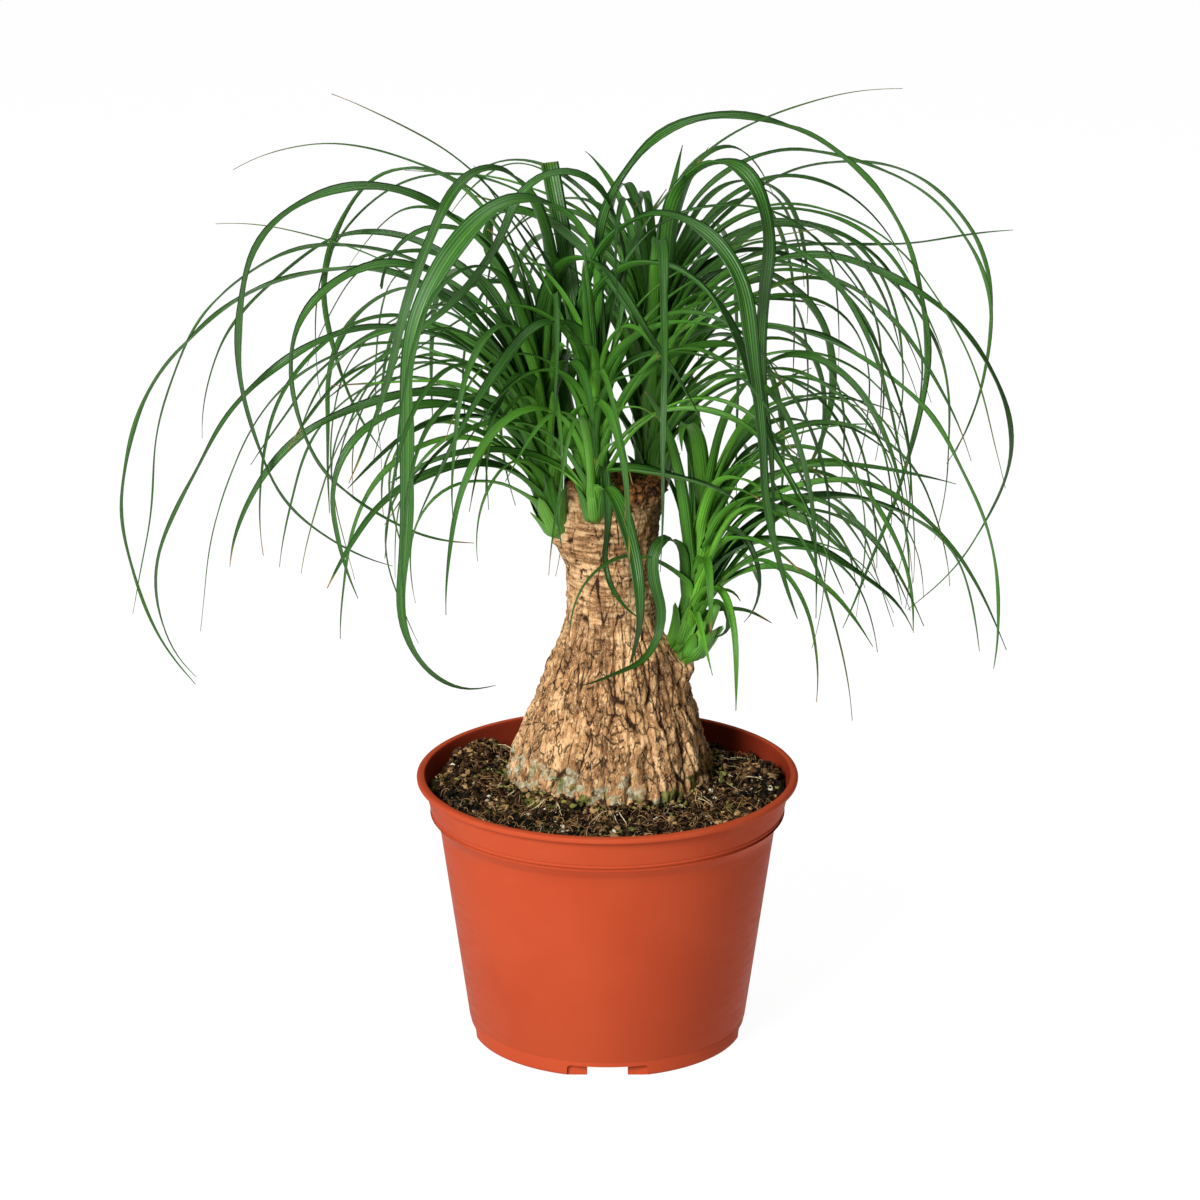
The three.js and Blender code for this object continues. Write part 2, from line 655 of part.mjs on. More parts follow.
// A blade with a flat top and a keel below, closed at its root and drawn to a point, or cut square, at its tip
function bladeSolid(sections) {
  const last = sections.length - 1;
  const rings = sections.map(({ point, across, normal, half }) => [
    point.clone().addScaledVector(across, half).toArray(),
    point.clone().addScaledVector(across, -half).toArray(),
    point.clone().addScaledVector(normal, -blade.thickness).toArray(),
  ]);
  const middleOf = (ring) => [0, 1, 2].map((axis) => (ring[0][axis] + ring[1][axis] + ring[2][axis]) / 3);
  const pointed = sections[last].half === 0;
  const body = pointed ? rings.slice(0, last) : rings;
  const tip = pointed ? sections[last].point.toArray() : middleOf(rings[last]);
  return solidOf(skin(middleOf(rings[0]), body, tip));
}

// A stem as a round limb through its stations, grown by extra for the hole that it stands in
function limbSolid(stations, extra) {
  const sides = 8;
  const points = stations.map(([x, y, z]) => new THREE.Vector3(x, y, z));
  const rings = points.map((point, i) => {
    const ahead = points[Math.min(i + 1, points.length - 1)];
    const behind = points[Math.max(i - 1, 0)];
    const along = ahead.clone().sub(behind).normalize();
    const u = new THREE.Vector3(1, 0, 0).addScaledVector(along, -along.x).normalize();
    const v = along.clone().cross(u);
    const end = (i === points.length - 1) - (i === 0);
    return ringAt(sides, (angle) => point.clone()
      .addScaledVector(along, end * extra)
      .addScaledVector(u, (stations[i][3] + extra) * Math.cos(angle))
      .addScaledVector(v, (stations[i][3] + extra) * Math.sin(angle)).toArray());
  });
  const endPoint = (i, inner) => points[i].clone().sub(points[inner]).normalize()
    .multiplyScalar(extra + 1).add(points[i]).toArray();
  const last = points.length - 1;
  return solidOf(skin(endPoint(0, 1), rings, endPoint(last, last - 1)));
}

// A shoot is its stem and its blades grown together, without the hollows that close up between them
function shootSolid(shoot, blades) {
  const stem = limbSolid(shoots[shoot].stations, 0);
  const whole = blades.reduce((body, sections) => body.add(bladeSolid(sections)), stem);
  return whole.decompose().reduce((largest, part) => (part.volume() > largest.volume() ? part : largest));
}

// Assembly

function named(name, solid, look) {
  const mesh = new THREE.Mesh(geometryOf(solid), new THREE.MeshStandardMaterial({ ...look, metalness: 0 }));
  mesh.name = name;
  return mesh;
}

const plant = new THREE.Group();
plant.add(named('pot', potSolid(), finish.pot));
plant.add(named('soil', soilSolid(), finish.soil));
let trunk = trunkSolid();
for (const { stations } of Object.values(shoots)) trunk = trunk.subtract(limbSolid(stations, gap));
plant.add(named('trunk', trunk, finish.trunk));
for (const [shoot, blades] of Object.entries(layLeaves())) {
  plant.add(named(`shoot_${shoot}`, shootSolid(shoot, blades), finish.leaf));
}

export default plant;
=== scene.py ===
# Looks of a ponytail palm in a round plastic grow pot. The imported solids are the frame, and the fine pieces
# made here replace them. Shapes are worked out in millimetres and written to meshes in metres.
import math

import bmesh
import bpy
import numpy as np
from mathutils import Matrix, Vector


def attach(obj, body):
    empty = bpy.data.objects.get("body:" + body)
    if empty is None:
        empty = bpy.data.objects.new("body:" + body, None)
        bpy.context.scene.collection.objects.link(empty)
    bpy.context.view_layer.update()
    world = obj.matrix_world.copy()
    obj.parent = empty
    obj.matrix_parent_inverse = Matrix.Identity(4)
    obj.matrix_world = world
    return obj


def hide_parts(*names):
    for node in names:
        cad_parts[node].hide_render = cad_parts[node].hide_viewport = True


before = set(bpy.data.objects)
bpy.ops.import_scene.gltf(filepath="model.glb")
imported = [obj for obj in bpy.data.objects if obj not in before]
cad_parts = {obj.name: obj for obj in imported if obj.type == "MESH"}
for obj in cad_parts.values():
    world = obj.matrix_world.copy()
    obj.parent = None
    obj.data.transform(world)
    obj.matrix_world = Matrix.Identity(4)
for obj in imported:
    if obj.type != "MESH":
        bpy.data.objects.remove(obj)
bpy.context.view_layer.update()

MM = 0.001
TURN = 2 * math.pi

# The photographed view
IMAGE_SIDE = 1200
CAMERA_AT = (-3.7, -2349.0, 991.0)
CAMERA_DOWN = math.radians(18.045)
FOCAL_PIXELS = 5020.0
SENSOR = 36.0

# Studio: a pale floor that glows a little, so that shadows on it stay faint, and lamps as name, place in
# metres, width and power
FLOOR_HALF = 30000.0
FLOOR_GLOW = 0.965
FLOOR_GREY = (72, 72, 72)
WORLD_LIGHT = 0.09
LAMPS_AIM = (0, 0, 0.25)
LAMPS = [("key", (-1.45, -2.3, 1.75), 1.2, 153), ("top", (0.1, 0.3, 2.4), 1.2, 22)]

# Pot, with its outer outline as radius and height
POT_SIDES = 192
POT_HEIGHT = 136.0
RIM_RADIUS = 95.0
LIP_WIDTH = 4.2
LIP_HEIGHT = 3.0
WALL = 1.4
FLOOR = 2.0
FOOT_RADIUS = 68.6
SHOULDER = (83.3, 107.0)
COLLAR_LOW = (88.0, 117.5)
COLLAR_HIGH = (91.4, 133.0)
WALL_OUTLINE = [(FOOT_RADIUS, FLOOR), SHOULDER, (84.2, 110.0), (86.5, 114.0), COLLAR_LOW, COLLAR_HIGH]
# Grooves of the collar: height, depth and half width
GROOVES = [(117.0, 0.6, 0.9), (119.2, 0.4, 0.6)]
# Drain channels: a wide mouth and a narrower inner part, the radii where each begins, and the holes
DRAIN = {
    "mouth": 40.0, "channel": 20.0, "height": 6.0, "reach": 64.0, "inner": 25.0, "hole": 4.0, "hole_at": 45.0,
}
DRAIN_ROOF = 1.6
DRAIN_PAST = 12.0

# Trunk, with its radius by height
TRUNK_AXIS = (2.0, 16.0)
TRUNK_BOTTOM = 100.0
TRUNK_TOP = 284.0
TOP_RADIUS = 22.4
FOOT_TOP = 134.0
TRUNK_COLUMNS = 440
TRUNK_ROW = 1.1
CUT_ROWS = 30
TRUNK_RADIUS = [
    (TRUNK_BOTTOM, 52.6), (FOOT_TOP, 52.0), (138.0, 50.4), (146.0, 47.6), (154.0, 44.8), (162.0, 42.0),
    (170.0, 39.0), (180.0, 35.4), (190.0, 31.6), (200.0, 27.2), (210.0, 24.2), (220.0, 22.8), (233.0, 22.2),
    (246.0, 22.2), (257.0, 22.8), (268.0, 23.6), (277.0, 23.4), (TRUNK_TOP, TOP_RADIUS),
]
# The old cut at the top: share of the way in, radius and height
CUT_OUTLINE = [
    (0, TOP_RADIUS, TRUNK_TOP), (0.12, 20.6, 285.4), (0.3, 16.5, 283.2), (0.6, 8.5, 280.8), (1, 0.4, 280.0),
]
# Swellings of the trunk, and the lobe at the right of its top: bearing, height, rise, half height and half
# width in degrees
BOSSES = [
    (196.0, 252.0, 5.5, 8.0, 24.0), (-12.0, 190.0, 9.5, 9.5, 26.0), (180.0, 190.0, -1.5, 25.0, 40.0),
    (0.0, 172.0, 1.5, 12.0, 40.0),
]
TOP_LOBE = (-8.0, 279.0, 3.2, 5.0, 26.0)
# The side on which the bark of the top crumbles most
CRUMBLY_SIDE = -40.0

# Soil, with its heaps and hollows, the loose heaps on top of the bed, and its damp dark spots, all as x, y,
# rise or strength, and size
SOIL_LEVEL = 127.6
SOIL_LOWEST = 119.0
SOIL_BOTTOM = 8.4
SOIL_REACH = 85.0
SOIL_SIDES = 440
SOIL_RINGS = 120
NEAR_SHARE = 0.75
BARE_RADIUS = 51.5
BANK_RADIUS = 53.5
HEAPS = [
    (-58.0, 52.0, 6.0, 14.0), (64.0, 42.0, 4.0, 14.0), (79.0, 14.0, 4.0, 12.0), (-80.0, -6.0, 3.0, 16.0),
    (20.0, 80.0, -7.0, 30.0), (-36.0, 70.0, -5.0, 14.0), (5.0, -70.0, -1.5, 40.0),
]
PILES = [
    (-70.0, 42.0, 1.5, 7.0), (-72.0, 28.0, 2.0, 9.0), (-45.0, 60.0, -9.0, 12.0), (66.0, 52.0, -6.0, 12.0),
    (79.0, 12.0, 2.0, 9.0),
]
DAMP_SPOTS = [
    (-44.0, -56.0, 1.0, 22.0), (-22.0, -66.0, 1.0, 18.0), (72.0, -14.0, 1.0, 17.0), (-72.0, -24.0, 1.0, 14.0),
    (14.0, -68.0, 1.0, 12.0),
]

# Shoots: the ends of the line that the leaves grow from, and the stations of the solid with radii
SHOOTS = {
    "left": {
        "ends": [(-26, 8, 259), (-30.8, 6.4, 299)],
        "stations": [(-11, 12.5, 248, 5.5), (-19, 10, 252, 7.5), (-26, 8, 259, 11), (-27, 7.7, 268, 11.5),
                     (-30.8, 6.4, 299, 9), (-33, 5.6, 322, 5)],
    },
    "front": {
        "ends": [(-7, -9, 268), (-6.3, -9.7, 302)],
        "stations": [(-3, 5, 259, 5), (-5, -2, 263, 6), (-7, -9, 268, 8.5), (-6.8, -9.4, 277, 9.5),
                     (-6, -10, 310, 9.5), (-5.6, -10.5, 345, 6.5)],
    },
    "back": {
        "ends": [(19, 27, 278), (22.1, 29.5, 340)],
        "stations": [(15, 23, 260, 7), (17, 25, 270, 8.5), (19, 27, 278, 10.5), (19.6, 27.4, 290, 11),
                     (22.1, 29.4, 340, 9), (23, 30, 360, 5)],
    },
    "right": {
        "ends": [(41, 8, 201), (47.7, 6.6, 249)],
        "stations": [(28, 11, 188, 5.5), (35, 9.5, 194, 7.5), (41, 8, 201, 10.5), (42.4, 7.7, 211, 10.5),
                     (47.7, 6.6, 249, 8), (50, 6, 266, 4.5)],
    },
}

# Stems of the leafy shoots as the eye sees them, slimmer than the solids' and wrapped in leaf roots: stations
# with radii. The right shoot has a second, small stem for its lowest leaves.
STEMS = {
    "left": [[(-11, 12.5, 254, 3.4), (-19, 10, 257, 4.4), (-25.5, 8.2, 262, 5.6), (-27.8, 7.6, 271, 6.8),
              (-30.8, 6.4, 299, 6.4), (-33, 5.6, 322, 4.5)]],
    "front": [[(-3, 5, 267, 2.5), (-5, -2, 269, 3.2), (-6.6, -7.8, 272, 4.2), (-6.8, -9.4, 281, 5.2),
               (-6, -10, 310, 5.8), (-5.6, -10.5, 345, 4.5)]],
    "back": [[(18, 23, 262, 4.5), (20, 25, 270, 5.6), (22, 27, 278, 6.8), (22.6, 27.4, 290, 7.4),
              (24, 29.4, 340, 7), (25, 30, 360, 5)]],
    "right": [[(27, 12, 192, 3), (32, 10, 197, 4.4), (36, 9, 203, 5.2), (39.5, 8.4, 214, 5.4),
               (47.7, 6.6, 249, 5.6), (50.5, 6, 270, 4)],
              [(32, 9, 190, 3), (38, 5, 194, 4.2), (43, 3, 199, 5.2), (47.5, 2, 207, 5), (53, 0.5, 221, 3.8),
               (57, -0.5, 232, 2.5)]],
}
BULB_STATION = 1
STEM_SHARE = 0.86
# Leaves below this share of a shoot that point to the right grow from its second stem
SIDE_PLACE = 0.45
# Short pointed scales round the foot of each stem: count, and how far along the stem they start and reach
SCALES = 7
SCALE_STARTS = (0.0, 6.0)
SCALE_LENGTHS = (15.0, 27.0)

# Leaves placed one by one: shoot, place on the stem, bearing, length, width, slopes, and True where cut
# square
CHOSEN = [
    ("left", 0.70, 175, 440, 7, (85, 45, -15, -55, -95, -130)),
    ("left", 0.80, 165, 415, 4, (84, 50, -5, -55, -85, -75)),
    ("left", 0.90, 190, 440, 8, (88, 70, 10, -80, -110, -165)),
    ("left", 0.95, 170, 340, 6, (90, 80, 50, -55, -100, -125)),
    ("left", 0.90, 180, 265, 3, (90, 83, 70, 25, 5, -35)),
    ("left", 0.60, 200, 375, 8, (82, 67, 10, -85, -135, -170)),
    ("left", 0.50, 185, 365, 7, (85, 45, -15, -55, -70, -135)),
    ("left", 0.30, 190, 235, 7, (88, 45, 0, -25, -55, -85)),
    ("left", 0.20, 210, 230, 7, (88, 45, 15, -30, -100, -110)),
    ("left", 0.40, 170, 195, 4, (88, 65, 20, -20, -65, -95)),
    ("left", 0.70, 160, 325, 4, (85, 65, 25, -35, -55, -95)),
    ("left", 0.50, 150, 285, 5, (80, 70, 15, -45, -90, -90)),
    ("left", 0.30, 200, 145, 5, (85, 65, 20, -10, -35, -45)),
    ("left", 0.05, 220, 175, 6, (70, 40, 5, -10, -45, -55)),
    ("left", 1.00, 230, 345, 7, (100, 92, 55, -50, -70, -50)),
    ("left", 1.00, -50, 230, 8, (95, 92, 60, -35, -40, -45)),
    ("left", 0.90, 178, 215, 3, (80, 62, 45, 30, 15, 0)),
    ("front", 1.00, 215, 465, 9, (92, 82, -35, -95, -85, -185)),
    ("front", 0.35, 227, 232, 8, (85, 84, 92, 25, -39, -39, -54, -52)),
    ("front", 1.00, 200, 320, 6, (95, 105, 68, -70, -32, -33)),
    ("front", 1.00, 15, 525, 9, (86, 90, -10, -65, -105, -115)),
    ("front", 0.90, -40, 375, 9, (100, 90, 15, -78, -84, -60)),
    ("front", 0.80, -35, 320, 9, (92, 95, 5, -72, -55, -62)),
    ("front", 0.60, 299, 237, 8, (135, 130, 120, 9, -67, -77, -80, -104, -31, 3)),
    ("front", 0.31, 289, 132, 7, (61, 8, -30, -48, -78, -109, -128)),
    ("front", 0.70, -27, 80, 9, (33, 6, -2, -4, -11, -30)),
    ("front", 1.00, 339, 276, 9, (170, 123, 108, 145, 9, -17, -33, -55)),
    ("front", 0.20, 185, 115, 6, (70, 40, 15, -5, -20, -30)),
    ("front", 1.00, 10, 265, 3, (88, 82, 66, 40, 15, 0)),
    ("front", 1.00, 0, 250, 4, (90, 88, 60, 10, -40, -60)),
    ("front", 1.00, 180, 235, 3, (88, 80, 66, 48, 32, 20)),
    ("front", 1.00, 115, 145, 10, (74, 70, 70, 68, 66, 64), True),
    ("left", 1.00, 185, 180, 7, (84, 84, 76, 55, -20, -85), True),
    ("back", 1.00, -55, 335, 10, (72, 85, 10, -105, -75, -83)),
    ("back", 0.90, 10, 370, 5, (90, 68, -5, -40, -90, -123)),
    ("back", 0.80, 25, 373, 4, (88, 50, 5, -40, -90, -120)),
    ("back", 0.90, 0, 276, 5, (86, 55, 0, -50, -90, -105)),
    ("back", 0.60, 5, 225, 5, (84, 62, 26, -6, 8, 3)),
    ("back", 0.70, -15, 370, 6, (85, 34, -16, -55, -113, -138)),
    ("back", 0.60, -20, 313, 8, (90, 12, -20, -53, -75, -100)),
    ("back", 0.80, 15, 215, 5, (80, 66, 2, -36, -50, -76)),
    ("back", 0.80, 30, 230, 6, (83, 46, -22, -58, -100, -130)),
    ("right", 0.52, 220, 114, 4, (49, 41, 27, 2, -24, -66, -95)),
    ("right", 0.02, 231, 184, 6, (75, 79, 93, 26, -95, -114, -55, -4, 0, 9)),
    ("right", 0.80, -15, 205, 7, (74, 71, 12, -52, -67, -90)),
    ("right", 0.40, -5, 142, 10, (77, 46, -6, -25, -38, -69)),
    ("right", 0.60, 5, 208, 7, (60, 40, -2, -29, -69, -85)),
    ("right", 0.30, -40, 115, 5, (86, 78, 55, -50, -90, -134)),
    ("right", 0.10, -30, 45, 4, (85, 75, 60, 30, 0, -60)),
    ("right", 0.05, -60, 72, 4, (75, 62, 25, -12, -138, -160)),
    ("right", 0.15, -10, 45, 4, (60, 40, 10, 0, -25, -30)),
]

# Fans of leaves placed by rule: shoot, count, bearing, spread, lengths, first slopes and bends
FANS = [
    ("left", 22, 185, 60, (160, 330), (62, 90), (130, 190)),
    ("left", 20, 190, 130, (100, 220), (45, 90), (110, 175)),
    ("front", 22, 230, 130, (100, 230), (60, 92), (110, 170)),
    ("front", 14, 90, 180, (110, 200), (80, 94), (25, 110)),
    ("back", 26, -2, 55, (210, 360), (58, 88), (130, 195)),
    ("back", 24, 110, 110, (180, 330), (52, 88), (120, 190)),
    ("back", 10, 0, 180, (110, 200), (80, 94), (30, 120)),
    ("right", 20, 0, 50, (120, 260), (58, 88), (110, 180)),
    ("right", 22, 15, 100, (70, 190), (50, 90), (90, 160)),
]
# Upright leaves in the heart of each shoot that only the scene has, in rows like those of the fans
HEARTS = [
    ("left", 6, 170, 180, (150, 240), (80, 95), (20, 110)),
    ("front", 5, 0, 180, (120, 220), (80, 96), (20, 120)),
    ("back", 6, 0, 180, (170, 270), (78, 95), (20, 110)),
    ("right", 6, 10, 120, (130, 230), (78, 94), (30, 120)),
]
NARROWEST = 3.5
NARROWEST_HEART = 5.0
# How fast a leaf turns from its pale root to dark green, as a factor on the distance from its root
CHOSEN_AGE = 3.0
FAN_AGE = 1
HEART_AGE = 0.6

# The rule that lays the leaves
SEED = 5
PATH_STEPS = 120
GAP = 0.3
GOLDEN_TURN = 0.618034
FAN_STATIONS = np.array([0, 0.2, 0.4, 0.6, 0.8, 1])
BLADE = {"thickness": 1.2, "segment": 46, "fewest": 4, "most": 11, "root_share": 0.5, "root_length": 30}
ROOM = {
    "tries": 60, "chosen_tries": 7, "off_trunk": 6, "root_off_trunk": 2, "off_stem": 2, "fan_crossings": 1,
    "trunk_top": 292, "over_pot": 152, "pot_radius": 105, "chosen_floor": 12,
    "fan_floor": {"left": 205, "front": 205, "back": 205, "right": 185},
    "view": (262, 20, -8, 44),
    "crown": (-5, 10, 290, 205, 190, 172),
}

# Leaf meshes: points across the top, and across the underside between the edges
TOP_ACROSS = np.linspace(1, -1, 7)
UNDER_ACROSS = np.linspace(-2 / 3, 2 / 3, 5)
STRAP_SIDES = len(TOP_ACROSS) + len(UNDER_ACROSS)
LEAF_STEP = 5.0
WIDER = 1.2
NARROW_LEAF = 4
WIDEST_CLASP = 6.5
SHEATH_STEP = 2.5
SHEATH_REACH = 18.0


# Shared helpers

class Draw:
    """A seeded draw that gives the same numbers as the one that laid the solids' leaves."""

    def __init__(self, seed):
        self.value = seed

    def __call__(self, low, high):
        self.value = (self.value * 1664525 + 1013904223) % 4294967296
        return low + ((high - low) * self.value) / 4294967296


def hashed(lattice, seed):
    """Random numbers from 0 to 1 for whole lattice points, the same for the same point and seed."""
    x, y, z = (lattice[..., axis].astype(np.uint32) for axis in range(3))
    mixed = x * np.uint32(374761393) + y * np.uint32(668265263) + z * np.uint32(2147483647)
    mixed = mixed + np.uint32(seed) * np.uint32(144665)
    mixed = (mixed ^ (mixed >> np.uint32(13))) * np.uint32(1274126177)
    mixed = mixed ^ (mixed >> np.uint32(16))
    mixed = (mixed * np.uint32(2246822519)) ^ (mixed >> np.uint32(11))
    return (mixed & np.uint32(0xFFFFFF)).astype(float) / 0xFFFFFF


def noise(points, scale, seed=0):
    """Smooth noise from -1 to 1 at points, with features about scale wide. scale may be one per axis."""
    place = points / np.asarray(scale, float)
    low = np.floor(place).astype(np.int64)
    part = place - low
    part = part * part * (3 - 2 * part)
    total = np.zeros(len(points))
    for corner in np.ndindex(2, 2, 2):
        corner = np.array(corner)
        weight = np.prod(np.where(corner == 1, part, 1 - part), axis=1)
        total += weight * hashed(low + corner, seed)
    return total * 2 - 1


def layered(points, scale, seed=0, layers=4):
    """Noise in layers, each half as wide and half as strong as the last."""
    total = np.zeros(len(points))
    for layer in range(layers):
        total += noise(points, np.asarray(scale, float) / 2**layer, seed + 17 * layer) / 2**layer
    return total / 1.6


def cells(place, seed, around=None):
    """Distances to the nearest and the second nearest of scattered cell centres, and a value for each cell.

    A place has two or three coordinates, in cells. The first one repeats after so many cells around.
    """
    axes = place.shape[1]
    low = np.floor(place).astype(np.int64)
    first, second = np.full((2, len(place)), 9.0)
    value = np.zeros(len(place))
    key = np.zeros((len(place), 3), np.int64)
    for shift in np.ndindex(*[3] * axes):
        lattice = low + np.array(shift) - 1
        key[:, :axes] = lattice
        if around:
            key[:, 0] %= around
        centre = lattice + np.stack([hashed(key, seed + axis) for axis in range(axes)], axis=1)
        distance = np.linalg.norm(place - centre, axis=1)
        nearer = distance < first
        second = np.where(nearer, first, np.minimum(second, distance))
        value = np.where(nearer, hashed(key, seed + 5), value)
        first = np.where(nearer, distance, first)
    return first, second, value


def step(low, high, value):
    """A smooth step from 0 at low to 1 at high."""
    share = np.clip((value - low) / (high - low), 0, 1)
    return share * share * (3 - 2 * share)


def unit(vectors):
    return vectors / np.maximum(np.linalg.norm(vectors, axis=-1, keepdims=True), 1e-9)


def square_to(vectors, ways):
    """Unit directions that are as near the vectors as directions square to the ways can be."""
    return unit(vectors - ways * np.sum(vectors * ways, axis=1)[:, None])


def rolled(across, normal, roll):
    """Two directions square to a line, turned round it."""
    cosine, sine = np.cos(roll)[:, None], np.sin(roll)[:, None]
    return across * cosine + normal * sine, normal * cosine - across * sine


def spin(turn):
    """The matrix of a turn round the upright axis."""
    return np.array([[math.cos(turn), -math.sin(turn), 0], [math.sin(turn), math.cos(turn), 0], [0, 0, 1]])


def round_points(angle, radius, z, middle=(0.0, 0.0)):
    """Points round an upright axis."""
    x = middle[0] + np.cos(angle) * radius
    y = middle[1] + np.sin(angle) * radius
    return np.stack(np.broadcast_arrays(x, y, z), axis=1)


def along_line(line):
    """Distances along a line of points, from its start."""
    return np.concatenate([[0], np.cumsum(np.linalg.norm(np.diff(line[:, :3], axis=0), axis=1))])


def resampled(at, travelled, values):
    """Rows of values read off at other distances along a line."""
    return np.stack([np.interp(at, travelled, column) for column in values.T], axis=1)


def by_segment(line, points):
    """For each segment of a line: how far along it each point's nearest spot lies, and how far away."""
    for start, end in zip(line[:-1, :3], line[1:, :3]):
        way = end - start
        share = np.clip((points - start) @ way / (way @ way), 0, 1)
        yield share, np.linalg.norm(start + share[:, None] * way - points, axis=1)


def mesh_object(name, points, faces, smooth=True, fields=None):
    """A mesh object in metres from points in millimetres.

    faces is a list of arrays, each with faces of one size. fields are named values for each point.
    """
    mesh = bpy.data.meshes.new(name)
    sizes = np.concatenate([np.full(len(group), group.shape[1], np.int32) for group in faces])
    corners = np.concatenate([group.ravel() for group in faces]).astype(np.int32)
    mesh.vertices.add(len(points))
    mesh.vertices.foreach_set("co", (np.asarray(points, np.float32) * np.float32(MM)).ravel())
    mesh.loops.add(len(corners))
    mesh.loops.foreach_set("vertex_index", corners)
    mesh.polygons.add(len(sizes))
    mesh.polygons.foreach_set("loop_start", np.concatenate([[0], np.cumsum(sizes)[:-1]]).astype(np.int32))
    mesh.update(calc_edges=True)
    mesh.validate()
    for key, values in (fields or {}).items():
        mesh.attributes.new(key, "FLOAT", "POINT").data.foreach_set("value", np.asarray(values, np.float32))
    mesh.polygons.foreach_set("use_smooth", np.full(len(mesh.polygons), smooth))
    obj = bpy.data.objects.new(name, mesh)
    bpy.context.scene.collection.objects.link(obj)
    return obj


def dress(obj, look, slot, *nodes):
    """Gives a piece its material and its body, and hides the solids that it replaces."""
    obj.data.materials.append(look)
    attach(obj, "root")
    if nodes:
        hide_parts(*nodes)
    return obj


def grid_faces(rows, columns):
    """Four-sided faces between neighbouring rings of points, facing out where the rings rise."""
    row, column = np.meshgrid(np.arange(rows - 1) * columns, np.arange(columns), indexing="ij")
    beside = (column + 1) % columns
    quads = np.stack([row + column, row + beside, row + columns + beside, row + columns + column], axis=-1)
    return quads.reshape(-1, 4)


def drum_faces(rows, sides):
    """Faces of a closed body of rings whose first and last ring are each closed by one flat face."""
    side = np.arange(sides)
    return [grid_faces(rows, sides), side[::-1][None], (side + (rows - 1) * sides)[None]]


def skin(rings, first, last):
    """Points and faces of a closed body of rings with a point before the first one and one after the last."""
    rows, sides = rings.shape[:2]
    side = np.arange(sides)
    beside = (side + 1) % sides
    count = rows * sides
    caps = [
        np.stack([np.full(sides, count), beside, side], axis=1),
        np.stack([np.full(sides, count + 1), count - sides + side, count - sides + beside], axis=1),
    ]
    return np.vstack([rings.reshape(-1, 3), first, last]), [grid_faces(rows, sides), *caps]


def tube(points, radii, sides):
    """Points and faces of a round tube closed at both ends."""
    along = unit(np.gradient(points, axis=0))
    aside = np.tile([1.0, 0.0, 0.0], (len(points), 1))
    aside[np.abs(along[:, 0]) > 0.9] = [0.0, 1.0, 0.0]
    e1 = square_to(aside, along)
    e2 = np.cross(along, e1)
    angle = np.linspace(0, TURN, sides, endpoint=False)
    around = e1[:, None] * np.cos(angle)[None, :, None] + e2[:, None] * np.sin(angle)[None, :, None]
    first = points[0] - along[0] * radii[0] * 0.4
    last = points[-1] + along[-1] * radii[-1] * 0.4
    return skin(points[:, None] + around * radii[:, None, None], first, last)


class Heap:
    """Collects the points, faces and fields of many small closed shapes into one mesh."""

    def __init__(self, keys):
        self.points, self.faces, self.count = [], [], 0
        self.fields = {key: [] for key in keys}

    def add(self, points, faces, fields):
        self.points.append(points)
        self.faces.extend(group + self.count for group in faces)
        self.count += len(points)
        for key, values in self.fields.items():
            values.append(np.broadcast_to(np.asarray(fields[key], float), len(points)))

    def build(self, name):
        fields = {key: np.concatenate(values) for key, values in self.fields.items()}
        return mesh_object(name, np.concatenate(self.points), self.faces, True, fields)


# Leaves: the same layout as the solids

def heading(leaf, share):
    """Slope and bearing of a leaf at shares of its length."""
    slope = np.interp(share, np.linspace(0, 1, len(leaf["slopes"])), leaf["slopes"])
    return np.radians(slope), np.radians(leaf["bearing"] + leaf["swing"] * share * share)


def leaf_path(leaf):
    """Points along the middle of a leaf, at even steps."""
    foot, tip = (np.array(end, float) for end in SHOOTS[leaf["shoot"]]["ends"])
    slope, bearing = heading(leaf, (np.arange(1, PATH_STEPS + 1) - 0.5) / PATH_STEPS)
    ways = np.stack([np.cos(slope) * np.cos(bearing), np.cos(slope) * np.sin(bearing), np.sin(slope)], axis=1)
    start = foot + (tip - foot) * leaf["place"]
    return start + np.vstack([np.zeros(3), np.cumsum(ways * leaf["length"] / PATH_STEPS, axis=0)])


def leaf_frame(leaf, share):
    """Directions across and out of the upper side of a leaf."""
    slope, bearing = heading(leaf, share)
    side = np.stack([-np.sin(bearing), np.cos(bearing), np.zeros_like(slope)], axis=1)
    upper = [-np.sin(slope) * np.cos(bearing), -np.sin(slope) * np.sin(bearing), np.cos(slope)]
    return rolled(side, np.stack(upper, axis=1), np.radians(leaf["roll"] + leaf["twist"] * share))


def strap_share(leaf, share):
    """Half the width of a leaf along it, as a share of its widest."""
    return np.full_like(share, 0.95) if leaf["cut"] else np.minimum(1, 1.25 * (1 - share) ** 0.75)


def leaf_sections(leaf):
    """Points, directions and half widths of a leaf where the solid has its sections."""
    wanted = math.floor(leaf["length"] / BLADE["segment"] + 0.5)
    count = max(BLADE["fewest"], min(BLADE["most"], wanted))
    picks = np.floor(PATH_STEPS * np.arange(count + 1) / count + 0.5).astype(int)
    share = picks / PATH_STEPS
    root = 1 - BLADE["root_share"] * np.exp(-share * leaf["length"] / BLADE["root_length"])
    half = leaf["width"] * root * strap_share(leaf, share) / 2
    return leaf_path(leaf)[picks], *leaf_frame(leaf, share), half


def spans_of(points, across, normal, half):
    """Pairs of neighbouring sections, each section a row of point, across, normal and half width."""
    ends = np.hstack([points, across, normal, half[:, None]])
    return np.stack([ends[:-1], ends[1:]], axis=1)


def stations_of(shoot):
    return np.array(SHOOTS[shoot]["stations"], float)


def stem_spans(shoot):
    stations = stations_of(shoot)
    sideways, depth = (np.tile(way, (len(stations), 1)) for way in ([1.0, 0.0, 0.0], [0.0, 1.0, 0.0]))
    return spans_of(stations[:, :3], sideways, depth, stations[:, 3])


